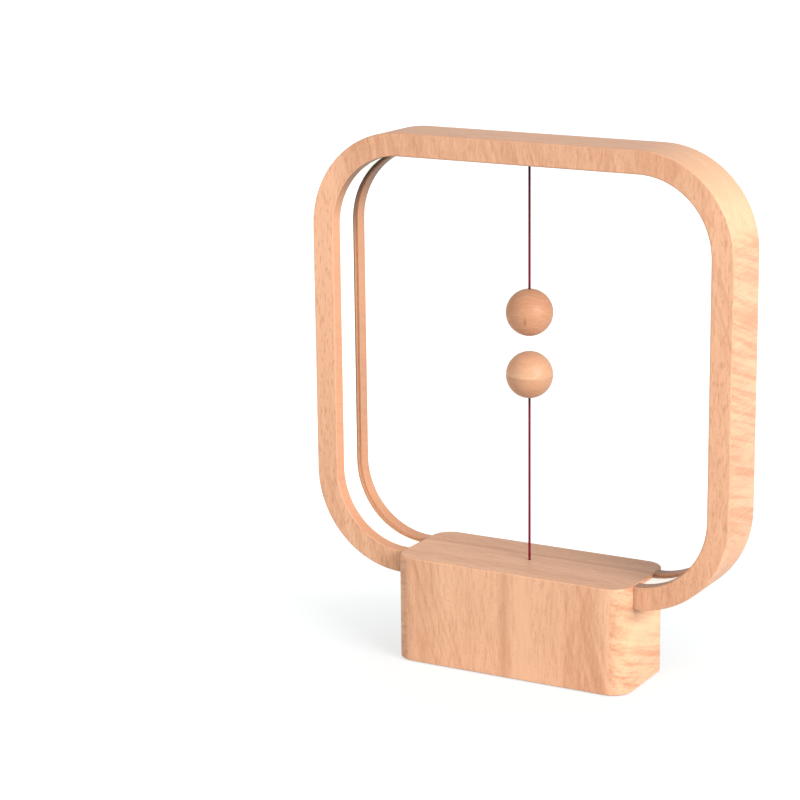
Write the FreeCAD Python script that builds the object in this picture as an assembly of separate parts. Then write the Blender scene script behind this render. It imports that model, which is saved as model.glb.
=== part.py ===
import FreeCAD, Part
import math
import os

# A table lamp: an upright wooden frame with a light strip in its inner face, standing in a wooden base.
# A ball hangs on a cord from the top. A second ball on a cord from the base is held up by the magnets
# in the two balls, and its taut cord lifts a plunger in the base that keeps the switch closed.
# Millimetres. X runs along the frame, Y from front to back, Z up. The origin is on the floor
# under the middle of the base. The solids are at rest with the lower ball held up.

V = FreeCAD.Vector
X_AXIS = V(1, 0, 0)
Y_AXIS = V(0, 1, 0)
Z_AXIS = V(0, 0, 1)

# wooden frame
FRAME_WIDTH = 230.0
FRAME_TOP = 270.0
FRAME_BOTTOM = 43.5
FRAME_DEPTH = 31.5
BAR_THICKNESS = 11.7
FRAME_CORNER = 49.8
EDGE_SOFTENING = 0.7

# stepped groove in the frame's inner face, and the light strip in it
REBATE_WIDTH = 17.5
REBATE_DEPTH = 1.2
CHANNEL_WIDTH = 14.0
DIFFUSER_RECESS = 1.8
DIFFUSER_THICKNESS = 2.0
TAPE_CHANNEL_WIDTH = 9.0
TAPE_SPACE = 2.0
TAPE_WIDTH = 8.0
TAPE_THICKNESS = 0.4
CHIP_LENGTH = 3.5
CHIP_WIDTH = 2.8
CHIP_HEIGHT = 0.8
CHIP_PITCH = 16.6
CHIP_SOLDER = 0.05
SLIP_FIT = 0.05

# wooden base
BASE_WIDTH = 130.0
BASE_DEPTH = 52.0
BASE_TOP = 55.5
BASE_CORNER = 10.5
FOOT_STANDOUT = 0.5
BOTTOM_CHAMFER = 0.6
END_WALL = 18.6
SIDE_WALL = 8.5
TOP_WALL = 8.5
CAVITY_CORNER = 4.0

# dowels between the frame's ends and the base
DOWEL_DIAMETER = 4.0
DOWEL_LENGTH = 24.0
DOWEL_SPREAD = 16.0
DOWEL_ABOVE_FRAME_BOTTOM = 5.0
DOWEL_END_ROOM = 0.5

# bottom cover, its screws and the feet
COVER_THICKNESS = 2.0
COVER_LEDGE_X = 6.0
COVER_LEDGE_Y = 4.0
COVER_CORNER = 4.0
COVER_GAP = 0.3
COVER_SCREW_DIAMETER = 2.6
COVER_SCREW_HEAD = 5.0
COVER_SCREW_LENGTH = 12.0
COVER_HOLE_ROOM = 0.1
PILOT_END_ROOM = 0.5
COVER_SCREW_INSET_X = 3.0
COVER_SCREW_INSET_Y = 3.5
FOOT_DIAMETER = 9.0
FOOT_THICKNESS = 2.0
FOOT_INSET_X = 6.8
FOOT_INSET_Y = 8.0
FOOT_GAP = 0.15

# cords, their knots and the places where they bend
CORD_DIAMETER = 1.25
CORD_HOLE = 1.8
BALL_BORE = 1.6
KNOT_DIAMETER = 2.9
CORD_GAP = 0.03

# balls and magnets
BALL_DIAMETER = 23.6
UPPER_BALL_CENTRE = 183.3
BALL_GAP = 8.0
MAGNET_DIAMETER = 10.0
MAGNET_THICKNESS = 5.0
MAGNET_POCKET_DEPTH = 8.0
KNOT_POCKET_DIAMETER = 4.2
KNOT_POCKET_DEPTH = 3.2

# bush that holds the upper cord in the frame
ANCHOR_DIAMETER = 4.4
ANCHOR_LENGTH = 3.6
ANCHOR_KNOT_ROOM = 2.2
ANCHOR_KNOT_BORE = 3.3
ANCHOR_END_ROOM = 0.6
TAPE_CORD_HOLE = 2.2

# liner of the hole in the base's top
LINER_DIAMETER = 3.0
LINER_BELOW_TOP = 2.0

# plunger that the lower cord pulls, its spring and its guide
PULL_TRAVEL = 3.0
PLUNGER_HEAD_DIAMETER = 10.0
PLUNGER_HEAD_LENGTH = 4.0
PLUNGER_STEM_DIAMETER = 6.0
RUNNING_GAP = 0.08
BARREL_DIAMETER = 14.0
FLANGE_THICKNESS = 2.0
FLANGE_WIDTH = 18.0
FLANGE_LEFT = 17.0
SPIGOT_DIAMETER = 6.4
SPRING_HEIGHT = 12.0
SPRING_DIAMETER = 9.3
SPRING_WIRE = 0.7
SPRING_TURNS = 5
SPRING_END_GAP = 0.1
CAP_THICKNESS = 1.6
CAP_SPIGOT_LENGTH = 1.8
STRIKER_DIAMETER = 13.0
STRIKER_THICKNESS = 2.0
STRIKER_HUB_DIAMETER = 4.0
STRIKER_HUB_LENGTH = 1.5

# lever switch beside the plunger
SWITCH_LENGTH = 20.0
SWITCH_WIDTH = 6.4
SWITCH_HEIGHT = 10.2
SWITCH_FROM_BARREL = 2.0
LEVER_THICKNESS = 0.4
LEVER_WIDTH = 4.0
LEVER_TIP_GAP = 1.2
LEVER_CLEARANCE = 0.1
LEVER_EYE_DIAMETER = 1.6
LEVER_PIN_DIAMETER = 0.8
LEVER_PIN_INSET = 1.4
SWITCH_EAR = 0.8
BUTTON_DIAMETER = 1.8
BUTTON_LENGTH = 4.0
BUTTON_FROM_PIN = 8.0
BUTTON_ROUNDING = 0.4
SWITCH_HOLE_PITCH = 9.5
SWITCH_HOLE_FROM_TOP = 2.4
TERMINAL_WIDTH = 3.2
TERMINAL_THICKNESS = 0.5
TERMINAL_HEIGHT = 4.6
TERMINAL_PITCH = 7.3
WEB_THICKNESS = 2.2
WEB_OVERHANG = 1.0

# small machine screws and wood screws
SMALL_SCREW_DIAMETER = 2.0
SMALL_SCREW_HEAD = 3.8
SMALL_SCREW_HEAD_HEIGHT = 1.3
THREAD_FIT = 0.02
CLEARANCE_HOLE = 2.3
GUIDE_SCREW_DIAMETER = 2.4
GUIDE_SCREW_HEAD = 4.5
GUIDE_SCREW_HEAD_HEIGHT = 1.8
GUIDE_SCREW_LENGTH = 6.5
GUIDE_HOLE = 2.7
GUIDE_SCREW_INSET = 4.5

# driver board on the bottom cover
BOARD_WIDTH = 28.0
BOARD_THICKNESS = 1.6
BOARD_END_GAP = 4.0
BOARD_FRONT = -15.0
BOARD_BACK_GAP = 0.5
BOARD_HOLE_INSET = 3.0
BOARD_BACK_HOLE_INSET = 9.0
STANDOFF_HEIGHT = 6.0
STANDOFF_DIAMETER = 4.5
STANDOFF_SPIGOT = 3.0
BOARD_SCREW_LENGTH = 5.0
DRIVER_CHIP_LENGTH = 5.0
DRIVER_CHIP_WIDTH = 4.0
DRIVER_CHIP_HEIGHT = 1.6
CHOKE_DIAMETER = 6.0
CHOKE_HEIGHT = 3.2
CAPACITOR_DIAMETER = 5.0
CAPACITOR_HEIGHT = 6.5

# power socket in the back of the base
SOCKET_WIDTH = 8.94
SOCKET_HEIGHT = 3.26
SOCKET_LENGTH = 7.35
SOCKET_SHELL = 0.3
SOCKET_RECESS = 0.5
TONGUE_WIDTH = 6.7
TONGUE_THICKNESS = 0.7
TONGUE_SETBACK = 1.0
BEZEL_WIDTH = 17.0
BEZEL_HEIGHT = 10.0
BEZEL_CORNER = 3.3
BEZEL_RIM = 1.5
BEZEL_SLEEVE_WIDTH = 13.6
BEZEL_SLEEVE_HEIGHT = 7.6
BEZEL_SLEEVE_CORNER = 2.5
BEZEL_FIT = 0.1
SOCKET_POCKET_DEPTH = 4.5
SOCKET_POCKET_HEIGHT = 16.0
SOCKET_POCKET_SIDE_ROOM = 1.0

# insulated leads inside the base
LEAD_DIAMETER = 1.0
LEAD_HOLE = 3.5
LEAD_RELIEF_LENGTH = 10.0
LEAD_RELIEF_WIDTH = 6.0
LEAD_RELIEF_ABOVE_LEADS = 2.2
LEAD_BEND_RADIUS = 5.0
LEAD_BEND_SHARE = 0.9
LED_LEAD_SPREAD = 1.2
LED_LEAD_ON_TAPE = 2.5
LEAD_SOLDER = 0.02
LED_LEAD_FROM_BOARD_EDGE = 2.0
SWITCH_LEAD_HEIGHT_ON_TERMINAL = 2.2
SWITCH_LEAD_STEP = 1.6

# inner face of the frame
INNER_WIDTH = FRAME_WIDTH - 2 * BAR_THICKNESS
INNER_BOTTOM = FRAME_BOTTOM + BAR_THICKNESS
INNER_TOP = FRAME_TOP - BAR_THICKNESS
INNER_HEIGHT = INNER_TOP - INNER_BOTTOM
INNER_CORNER = FRAME_CORNER - BAR_THICKNESS
DIFFUSER_SEAT = DIFFUSER_RECESS + DIFFUSER_THICKNESS
TAPE_SEAT = DIFFUSER_SEAT + TAPE_SPACE
TAPE_FACE = TAPE_SEAT - TAPE_THICKNESS

# base levels and cavity
BASE_BOTTOM = FOOT_STANDOUT
BASE_END = BASE_WIDTH / 2
CAVITY_END = BASE_END - END_WALL
CAVITY_SIDE = BASE_DEPTH / 2 - SIDE_WALL
CEILING = BASE_TOP - TOP_WALL
COVER_TOP = BASE_BOTTOM + COVER_THICKNESS
COVER_END = CAVITY_END + COVER_LEDGE_X
COVER_SIDE = CAVITY_SIDE + COVER_LEDGE_Y
DOWEL_LEVEL = FRAME_BOTTOM + DOWEL_ABOVE_FRAME_BOTTOM

# balls and cord levels
CORD_RADIUS = CORD_DIAMETER / 2
BALL_RADIUS = BALL_DIAMETER / 2
KNOT_RADIUS = KNOT_DIAMETER / 2
LOWER_BALL_CENTRE = UPPER_BALL_CENTRE - BALL_DIAMETER - BALL_GAP
DIFFUSER_FACE_TOP = INNER_TOP + DIFFUSER_RECESS
UPPER_BEND = DIFFUSER_FACE_TOP - CORD_GAP - CORD_RADIUS
LOWER_BEND = BASE_TOP + CORD_GAP + CORD_RADIUS

# plunger and switch levels, with the plunger lifted
FLANGE_BOTTOM = CEILING - FLANGE_THICKNESS
HEAD_TOP = FLANGE_BOTTOM - SPRING_HEIGHT
HEAD_BOTTOM = HEAD_TOP - PLUNGER_HEAD_LENGTH
SPRING_TOP = FLANGE_BOTTOM - SPRING_END_GAP
SPRING_BOTTOM = HEAD_TOP + SPRING_END_GAP
CAP_TOP = HEAD_BOTTOM - PULL_TRAVEL
BARREL_BOTTOM = CAP_TOP - CAP_SPIGOT_LENGTH
CAP_BOTTOM = BARREL_BOTTOM - CAP_THICKNESS
BARREL_BORE = PLUNGER_HEAD_DIAMETER + 2 * RUNNING_GAP
STEM_BORE = PLUNGER_STEM_DIAMETER + 2 * RUNNING_GAP
SWITCH_LEFT = BARREL_DIAMETER / 2 + SWITCH_FROM_BARREL
SWITCH_RIGHT = SWITCH_LEFT + SWITCH_LENGTH
LEVER_PIN_X = SWITCH_RIGHT - LEVER_PIN_INSET
LEVER_TIP_X = PLUNGER_STEM_DIAMETER / 2 + LEVER_TIP_GAP
LEVER_TOP = CAP_BOTTOM - LEVER_CLEARANCE
LEVER_BOTTOM = LEVER_TOP - LEVER_THICKNESS
LEVER_PIN_LEVEL = LEVER_TOP + LEVER_CLEARANCE
SWITCH_BOTTOM = LEVER_PIN_LEVEL + LEVER_EYE_DIAMETER / 2 + LEVER_CLEARANCE
SWITCH_TOP = SWITCH_BOTTOM + SWITCH_HEIGHT
SWITCH_HOLE_LEVEL = SWITCH_TOP - SWITCH_HOLE_FROM_TOP
BUTTON_X = LEVER_PIN_X - BUTTON_FROM_PIN
STRIKER_TOP = LEVER_BOTTOM - LEVER_CLEARANCE
STRIKER_BOTTOM = STRIKER_TOP - STRIKER_THICKNESS
FLANGE_RIGHT = SWITCH_RIGHT + WEB_OVERHANG

# board and socket places
BOARD_BOTTOM = COVER_TOP + STANDOFF_HEIGHT
BOARD_TOP = BOARD_BOTTOM + BOARD_THICKNESS
BOARD_RIGHT = CAVITY_END - BOARD_END_GAP
BOARD_LEFT = BOARD_RIGHT - BOARD_WIDTH
BOARD_MIDDLE = (BOARD_LEFT + BOARD_RIGHT) / 2
SOCKET_POCKET_END = CAVITY_SIDE + SOCKET_POCKET_DEPTH
BOARD_BACK = SOCKET_POCKET_END - BOARD_BACK_GAP
BASE_BACK = BASE_DEPTH / 2
SOCKET_LEVEL = BOARD_TOP + SOCKET_HEIGHT / 2

TINY = 1e-6

nodes = {}


def cylinder(diameter, low, high, x=0.0, y=0.0):
    """An upright cylinder between two heights."""
    return Part.makeCylinder(diameter / 2, high - low, V(x, y, low), Z_AXIS)


def tube(outer, inner, low, high, x=0.0, y=0.0):
    """An upright pipe between two heights."""
    return cylinder(outer, low, high, x, y).cut(cylinder(inner, low, high, x, y))


def box(left, right, front, back, low, high):
    """A block between its six faces."""
    return Part.makeBox(right - left, back - front, high - low, V(left, front, low))


def edges_along(solid, axis):
    """The straight edges that run along an axis."""
    found = []
    for edge in solid.Edges:
        straight = edge.Curve.TypeId == "Part::GeomLine"
        if straight and edge.Curve.Direction.cross(axis).Length < TINY:
            found.append(edge)
    return found


def edges_at(solid, axis, place):
    """The edges that lie in the plane across an axis at a place."""
    found = []
    for edge in solid.Edges:
        points = [vertex.Point for vertex in edge.Vertexes] + [edge.CenterOfMass]
        if all(abs(point.dot(axis) - place) < TINY for point in points):
            found.append(edge)
    return found


def slab(left, right, front, back, low, high, corner):
    """A block with its four upright edges rounded."""
    block = box(left, right, front, back, low, high)
    return block.makeFillet(corner, edges_along(block, Z_AXIS))


def centred_slab(width, depth, low, high, corner):
    """A block with rounded upright edges, centred over the origin."""
    return slab(-width / 2, width / 2, -depth / 2, depth / 2, low, high, corner)


def slot_along_y(width, height, front, back, x, level, corner):
    """A block along Y whose front view is a rounded rectangle."""
    block = box(x - width / 2, x + width / 2, front, back, level - height / 2, level + height / 2)
    return block.makeFillet(corner, edges_along(block, Y_AXIS))


def fused(first, *others):
    """One solid made of touching ones, with the seams between them removed."""
    return first.multiFuse(list(others)).removeSplitter()


def along_x(diameter, length, middle_x, y, level):
    """A cylinder along X, centred on its middle."""
    return Part.makeCylinder(diameter / 2, length, V(middle_x - length / 2, y, level), X_AXIS)


def along_y(diameter, length, x, front, level):
    """A cylinder along Y from its front end."""
    return Part.makeCylinder(diameter / 2, length, V(x, front, level), Y_AXIS)


def at_corners(x, y):
    """The four places at plus and minus x and y."""
    return [(side_x * x, side_y * y) for side_x in (-1, 1) for side_y in (-1, 1)]


def panhead_screw(diameter, length, head, head_height, seat, direction):
    """A screw whose head rests on the seat point, with its shank along the direction."""
    shank = Part.makeCylinder(diameter / 2, length, seat, direction)
    cap = Part.makeCylinder(head / 2, head_height, seat - direction * head_height, direction)
    return fused(shank, cap)


def countersunk_screw(diameter, length, head, x, y, low):
    """An upright wood screw with its flat head at the bottom."""
    cone_height = (head - diameter) / 2
    cone = Part.makeCone(head / 2, diameter / 2, cone_height, V(x, y, low))
    return fused(cone, cylinder(diameter, low + cone_height, low + length, x, y))


def knot_under(hole, level):
    """A knot pulled up against the rim of a round hole."""
    drop = math.sqrt(KNOT_RADIUS ** 2 - (hole / 2) ** 2) + CORD_GAP
    return Part.makeSphere(KNOT_RADIUS, V(0, 0, level - drop)), level - drop


def knot_over(hole, level):
    """A knot pulled down against the rim of a round hole."""
    rise = math.sqrt(KNOT_RADIUS ** 2 - (hole / 2) ** 2) + CORD_GAP
    return Part.makeSphere(KNOT_RADIUS, V(0, 0, level + rise)), level + rise


def bent_lead(start, corner, end, diameter, widest_bend):
    """A round lead along two straight runs, joined by the widest tangent arc that they leave room for."""
    first_run = corner - start
    second_run = end - corner
    half_turn = first_run.getAngle(second_run) / 2
    shorter_run = min(first_run.Length, second_run.Length)
    radius = min(widest_bend, LEAD_BEND_SHARE * shorter_run / math.tan(half_turn))
    first = V(first_run).normalize()
    second = V(second_run).normalize()
    reach = radius * math.tan(half_turn)
    arc_start = corner - first * reach
    arc_end = corner + second * reach
    inward = (second - first).normalize()
    centre = corner + inward * math.hypot(radius, reach)
    arc_middle = centre - inward * radius
    path = Part.Wire([
        Part.LineSegment(start, arc_start).toShape(),
        Part.Arc(arc_start, arc_middle, arc_end).toShape(),
        Part.LineSegment(arc_end, end).toShape(),
    ])
    section = Part.Wire([Part.makeCircle(diameter / 2, start, first)])
    lead = path.makePipeShell([section], True, False)
    expected = math.pi * diameter ** 2 / 4 * path.Length
    ratio = lead.Volume / expected
    print("lead", round(path.Length, 1), "mm, bend", round(radius, 2), "mm, volume ratio", round(ratio, 4))
    return lead


# --- wooden frame and what lies in its groove ---

def frame_block(growth, depth):
    """A block along Y whose front view is the frame's inner outline, grown outwards by growth."""
    half_width = INNER_WIDTH / 2 + growth
    half_height = INNER_HEIGHT / 2 + growth
    middle = (INNER_TOP + INNER_BOTTOM) / 2
    block = box(-half_width, half_width, -depth / 2, depth / 2, middle - half_height, middle + half_height)
    return block.makeFillet(INNER_CORNER + growth, edges_along(block, Y_AXIS))


def base_space(gap):
    """The space under the frame's opening that the base takes out of its bottom bar."""
    reach = BASE_END + gap
    return box(-reach, reach, -BASE_DEPTH, BASE_DEPTH, 0, INNER_BOTTOM + INNER_CORNER)


def strip_in_groove(face_depth, seat_depth, width):
    """A strip that follows the groove between two depths, and stops at the base's two ends."""
    band = frame_block(seat_depth, width).cut(frame_block(face_depth, width))
    return band.cut(base_space(SLIP_FIT))


def dowel_places():
    """Each dowel's side of the lamp and its Y."""
    return [(side, y) for side in (-1, 1) for y in (-DOWEL_SPREAD / 2, DOWEL_SPREAD / 2)]


def dowels(extra_diameter, extra_length):
    """The four dowels, or with extras the holes for them."""
    diameter = DOWEL_DIAMETER + extra_diameter
    length = DOWEL_LENGTH + extra_length
    return [along_x(diameter, length, side * BASE_END, y, DOWEL_LEVEL) for side, y in dowel_places()]


def make_ring_frame():
    bars = frame_block(BAR_THICKNESS, FRAME_DEPTH).cut(frame_block(0, FRAME_DEPTH))
    long_edges = edges_at(bars, Y_AXIS, -FRAME_DEPTH / 2) + edges_at(bars, Y_AXIS, FRAME_DEPTH / 2)
    bars = bars.makeFillet(EDGE_SOFTENING, long_edges)
    groove = [
        frame_block(REBATE_DEPTH, REBATE_WIDTH),
        frame_block(DIFFUSER_SEAT, CHANNEL_WIDTH),
        frame_block(TAPE_SEAT, TAPE_CHANNEL_WIDTH),
    ]
    anchor_hole_top = INNER_TOP + TAPE_SEAT + ANCHOR_LENGTH + ANCHOR_END_ROOM
    anchor_hole = cylinder(ANCHOR_DIAMETER + SLIP_FIT, INNER_TOP, anchor_hole_top)
    holes = dowels(SLIP_FIT, 2 * DOWEL_END_ROOM) + [anchor_hole]
    return bars.cut(groove + holes + [base_space(0)])


def make_light_diffuser():
    strip = strip_in_groove(DIFFUSER_RECESS, DIFFUSER_SEAT, CHANNEL_WIDTH - 2 * SLIP_FIT)
    return strip.cut(cylinder(CORD_HOLE, INNER_TOP, FRAME_TOP))


def make_led_tape():
    strip = strip_in_groove(TAPE_FACE, TAPE_SEAT, TAPE_WIDTH)
    return strip.cut(cylinder(TAPE_CORD_HOLE, INNER_TOP, FRAME_TOP))


def tape_centre_line():
    """Half the tape's centre line, from above the cord hole down the right side to the base."""
    growth = TAPE_FACE
    side = INNER_WIDTH / 2 + growth
    top = INNER_TOP + growth
    bottom = INNER_BOTTOM - growth
    corner = INNER_CORNER + growth
    eighth = corner * math.sqrt(0.5)
    straight_x = side - corner
    upper_z = top - corner
    lower_z = bottom + corner
    upper_arc = Part.Arc(
        V(straight_x, 0, top),
        V(straight_x + eighth, 0, upper_z + eighth),
        V(side, 0, upper_z),
    )
    lower_arc = Part.Arc(
        V(side, 0, lower_z),
        V(straight_x + eighth, 0, lower_z - eighth),
        V(straight_x, 0, bottom),
    )
    return Part.Wire([
        Part.LineSegment(V(0, 0, top), V(straight_x, 0, top)).toShape(),
        upper_arc.toShape(),
        Part.LineSegment(V(side, 0, upper_z), V(side, 0, lower_z)).toShape(),
        lower_arc.toShape(),
    ])


def make_led_chips():
    """Equal chips along the tape, in mirrored pairs that keep clear of the cord's hole."""
    line = tape_centre_line()
    count = int(line.Length / CHIP_PITCH)
    chips = []
    for index in range(count):
        along = (index + 0.5) * CHIP_PITCH
        point, tangent = point_on_wire(line, along)
        chip = box(-CHIP_LENGTH / 2, CHIP_LENGTH / 2, -CHIP_WIDTH / 2, CHIP_WIDTH / 2,
                   CHIP_SOLDER, CHIP_SOLDER + CHIP_HEIGHT)
        # the chip's own Z turns from the tape's face towards the middle of the frame
        turn = math.degrees(math.atan2(-tangent.z, tangent.x))
        chip.rotate(V(0, 0, 0), Y_AXIS, 180 + turn)
        chip.translate(point)
        chips.append(chip)
        chips.append(chip.mirror(V(0, 0, 0), X_AXIS))
    return Part.makeCompound(chips)


def tape_level(x):
    """The height of the tape's inner face in the bottom bar, where the corner may already lift it."""
    corner = INNER_CORNER + TAPE_FACE
    into_corner = max(0, x - (INNER_WIDTH / 2 - INNER_CORNER))
    return INNER_BOTTOM + INNER_CORNER - math.sqrt(corner ** 2 - into_corner ** 2)


def point_on_wire(wire, along):
    """The point and the direction at a length along a wire."""
    for edge in wire.OrderedEdges:
        if along <= edge.Length:
            parameter = edge.getParameterByLength(along)
            return edge.valueAt(parameter), edge.tangentAt(parameter)
        along -= edge.Length
    raise ValueError("the length is past the end of the wire")


# the leads lie on the tape's end, and their hole is centred on them
LED_LEAD_END = BASE_END + LED_LEAD_ON_TAPE
LED_LEAD_LEVEL = tape_level(LED_LEAD_END) + LEAD_SOLDER + LEAD_DIAMETER / 2
LED_LEAD_DROP = BOARD_RIGHT - LED_LEAD_FROM_BOARD_EDGE

nodes["ring_frame"] = make_ring_frame()
nodes["ring_dowels"] = Part.makeCompound(dowels(0, 0))
nodes["light_diffuser"] = make_light_diffuser()
nodes["led_tape"] = make_led_tape()
nodes["led_chips"] = make_led_chips()


# --- upper cord, held by a bush pressed into the groove's floor ---

ANCHOR_BOTTOM = INNER_TOP + TAPE_SEAT
ANCHOR_TOP = ANCHOR_BOTTOM + ANCHOR_LENGTH
ANCHOR_SHOULDER = ANCHOR_TOP - ANCHOR_KNOT_ROOM

anchor = tube(ANCHOR_DIAMETER, CORD_HOLE, ANCHOR_BOTTOM, ANCHOR_TOP)
nodes["cord_anchor"] = anchor.cut(cylinder(ANCHOR_KNOT_BORE, ANCHOR_SHOULDER, ANCHOR_TOP))
nodes["anchor_knot"], anchor_knot_centre = knot_over(CORD_HOLE, ANCHOR_SHOULDER)
tail_top = anchor_knot_centre - KNOT_RADIUS - CORD_GAP
nodes["upper_cord_tail"] = cylinder(CORD_DIAMETER, DIFFUSER_FACE_TOP, tail_top)
nodes["upper_cord_bend"] = Part.makeSphere(CORD_RADIUS, V(0, 0, UPPER_BEND))


# --- the two balls, each two glued halves with a magnet near the other ball ---

def half_ball(centre, side):
    """The half of a ball above its middle for side 1, or below it for side -1."""
    reach = BALL_DIAMETER
    low, high = sorted((centre, centre + side * reach))
    keep = box(-reach, reach, -reach, reach, low, high)
    return Part.makeSphere(BALL_RADIUS, V(0, 0, centre)).common(keep)


def pocket(diameter, depth, centre, side):
    """A round pocket that goes from a ball's middle into one half."""
    low, high = sorted((centre, centre + side * depth))
    return cylinder(diameter, low, high)


def make_ball(centre, cord_side):
    """A ball's cord half, magnet half, magnet and knot, and the knot's centre."""
    magnet_side = -cord_side
    bore = pocket(BALL_BORE, BALL_DIAMETER, centre, cord_side)
    knot_pocket = pocket(KNOT_POCKET_DIAMETER, KNOT_POCKET_DEPTH, centre, cord_side)
    magnet_pocket = pocket(MAGNET_DIAMETER + 2 * SLIP_FIT, MAGNET_POCKET_DEPTH, centre, magnet_side)
    cord_half = half_ball(centre, cord_side).cut([bore, knot_pocket])
    magnet_half = half_ball(centre, magnet_side).cut(magnet_pocket)
    floor = centre + magnet_side * MAGNET_POCKET_DEPTH
    inner_face = floor - magnet_side * MAGNET_THICKNESS
    magnet = cylinder(MAGNET_DIAMETER, *sorted((floor, inner_face)))
    shoulder = centre + cord_side * KNOT_POCKET_DEPTH
    knot_maker = knot_under if cord_side > 0 else knot_over
    knot, knot_centre = knot_maker(BALL_BORE, shoulder)
    return cord_half, magnet_half, magnet, knot, knot_centre


cord_half, magnet_half, magnet, knot, knot_centre = make_ball(UPPER_BALL_CENTRE, 1)
nodes["upper_ball_top"] = cord_half
nodes["upper_ball_bottom"] = magnet_half
nodes["upper_magnet"] = magnet
nodes["upper_ball_knot"] = knot
upper_cord_bottom = knot_centre + KNOT_RADIUS + CORD_GAP
nodes["upper_cord"] = cylinder(CORD_DIAMETER, upper_cord_bottom, UPPER_BEND - CORD_RADIUS - CORD_GAP)

cord_half, magnet_half, magnet, knot, knot_centre = make_ball(LOWER_BALL_CENTRE, -1)
nodes["lower_ball_bottom"] = cord_half
nodes["lower_ball_top"] = magnet_half
nodes["lower_magnet"] = magnet
nodes["lower_ball_knot"] = knot
lower_cord_top = knot_centre - KNOT_RADIUS - CORD_GAP
nodes["lower_cord"] = cylinder(CORD_DIAMETER, LOWER_BEND + CORD_RADIUS + CORD_GAP, lower_cord_top)
nodes["lower_cord_bend"] = Part.makeSphere(CORD_RADIUS, V(0, 0, LOWER_BEND))


# --- base ---

def guide_screw_places():
    """Two screws left of the plunger and one right of it, in front of the web."""
    side = FLANGE_WIDTH / 2 - GUIDE_SCREW_INSET
    left = -FLANGE_LEFT + GUIDE_SCREW_INSET
    right = FLANGE_RIGHT - GUIDE_SCREW_INSET
    return [(left, -side), (left, side), (right, -side)]


def cover_screw_places():
    return at_corners(COVER_END - COVER_SCREW_INSET_X, COVER_SIDE - COVER_SCREW_INSET_Y)


def foot_places():
    return at_corners(BASE_END - FOOT_INSET_X, BASE_DEPTH / 2 - FOOT_INSET_Y)


def standoff_places():
    """The two front and two back fixing points of the board."""
    left = BOARD_LEFT + BOARD_HOLE_INSET
    right = BOARD_RIGHT - BOARD_HOLE_INSET
    front = BOARD_FRONT + BOARD_HOLE_INSET
    back = BOARD_BACK - BOARD_BACK_HOLE_INSET
    return [(x, y) for x in (left, right) for y in (front, back)]


def cover_screws(extra_diameter):
    """The cover's four screws, or with extra room the holes for them."""
    diameter = COVER_SCREW_DIAMETER + extra_diameter
    head = COVER_SCREW_HEAD + extra_diameter
    return [
        countersunk_screw(diameter, COVER_SCREW_LENGTH, head, x, y, BASE_BOTTOM)
        for x, y in cover_screw_places()
    ]


def bezel_outline(room):
    """The rim and the sleeve of the socket's surround, or with room the seat for them."""
    rim = slot_along_y(BEZEL_WIDTH + 2 * room, BEZEL_HEIGHT + 2 * room, BASE_BACK - BEZEL_RIM, BASE_BACK,
                       BOARD_MIDDLE, SOCKET_LEVEL, BEZEL_CORNER + room)
    sleeve = slot_along_y(BEZEL_SLEEVE_WIDTH + 2 * room, BEZEL_SLEEVE_HEIGHT + 2 * room,
                          SOCKET_POCKET_END, BASE_BACK - BEZEL_RIM,
                          BOARD_MIDDLE, SOCKET_LEVEL, BEZEL_SLEEVE_CORNER + room)
    return rim, sleeve


def make_base_housing():
    block = centred_slab(BASE_WIDTH, BASE_DEPTH, BASE_BOTTOM, BASE_TOP, BASE_CORNER)
    block = block.makeFillet(EDGE_SOFTENING, edges_at(block, Z_AXIS, BASE_TOP))
    block = block.makeChamfer(BOTTOM_CHAMFER, edges_at(block, Z_AXIS, BASE_BOTTOM))
    cavity = centred_slab(2 * CAVITY_END, 2 * CAVITY_SIDE, BASE_BOTTOM, CEILING, CAVITY_CORNER)
    rebate = centred_slab(2 * (COVER_END + COVER_GAP), 2 * (COVER_SIDE + COVER_GAP),
                          BASE_BOTTOM, COVER_TOP, COVER_CORNER + COVER_GAP)
    socket_pocket = box(BOARD_LEFT - SOCKET_POCKET_SIDE_ROOM, BOARD_RIGHT + SOCKET_POCKET_SIDE_ROOM,
                        0, SOCKET_POCKET_END, COVER_TOP, SOCKET_POCKET_HEIGHT)
    relief_side = LEAD_RELIEF_WIDTH / 2
    lead_relief = box(CAVITY_END - LEAD_RELIEF_LENGTH, CAVITY_END, -relief_side, relief_side,
                      CEILING, LED_LEAD_LEVEL + LEAD_RELIEF_ABOVE_LEADS)
    bezel_rim, bezel_sleeve = bezel_outline(BEZEL_FIT)
    holes = [
        cylinder(CORD_HOLE, CEILING, BASE_TOP),
        cylinder(LINER_DIAMETER + SLIP_FIT, CEILING, BASE_TOP - LINER_BELOW_TOP),
        along_x(LEAD_HOLE, END_WALL, BASE_END - END_WALL / 2, 0, LED_LEAD_LEVEL),
    ]
    holes += dowels(SLIP_FIT, 2 * DOWEL_END_ROOM)
    for x, y in foot_places():
        holes.append(cylinder(FOOT_DIAMETER + 2 * FOOT_GAP, 0, FOOT_THICKNESS, x, y))
    screw_end = BASE_BOTTOM + COVER_SCREW_LENGTH
    for x, y in cover_screw_places():
        holes.append(cylinder(COVER_SCREW_DIAMETER + 2 * THREAD_FIT, 0, screw_end + PILOT_END_ROOM, x, y))
    for x, y in guide_screw_places():
        hole_top = FLANGE_BOTTOM + GUIDE_SCREW_LENGTH + PILOT_END_ROOM
        holes.append(cylinder(GUIDE_SCREW_DIAMETER + 2 * THREAD_FIT, FLANGE_BOTTOM, hole_top, x, y))
    return block.cut([cavity, rebate, lead_relief, socket_pocket, bezel_rim, bezel_sleeve] + holes)


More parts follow.
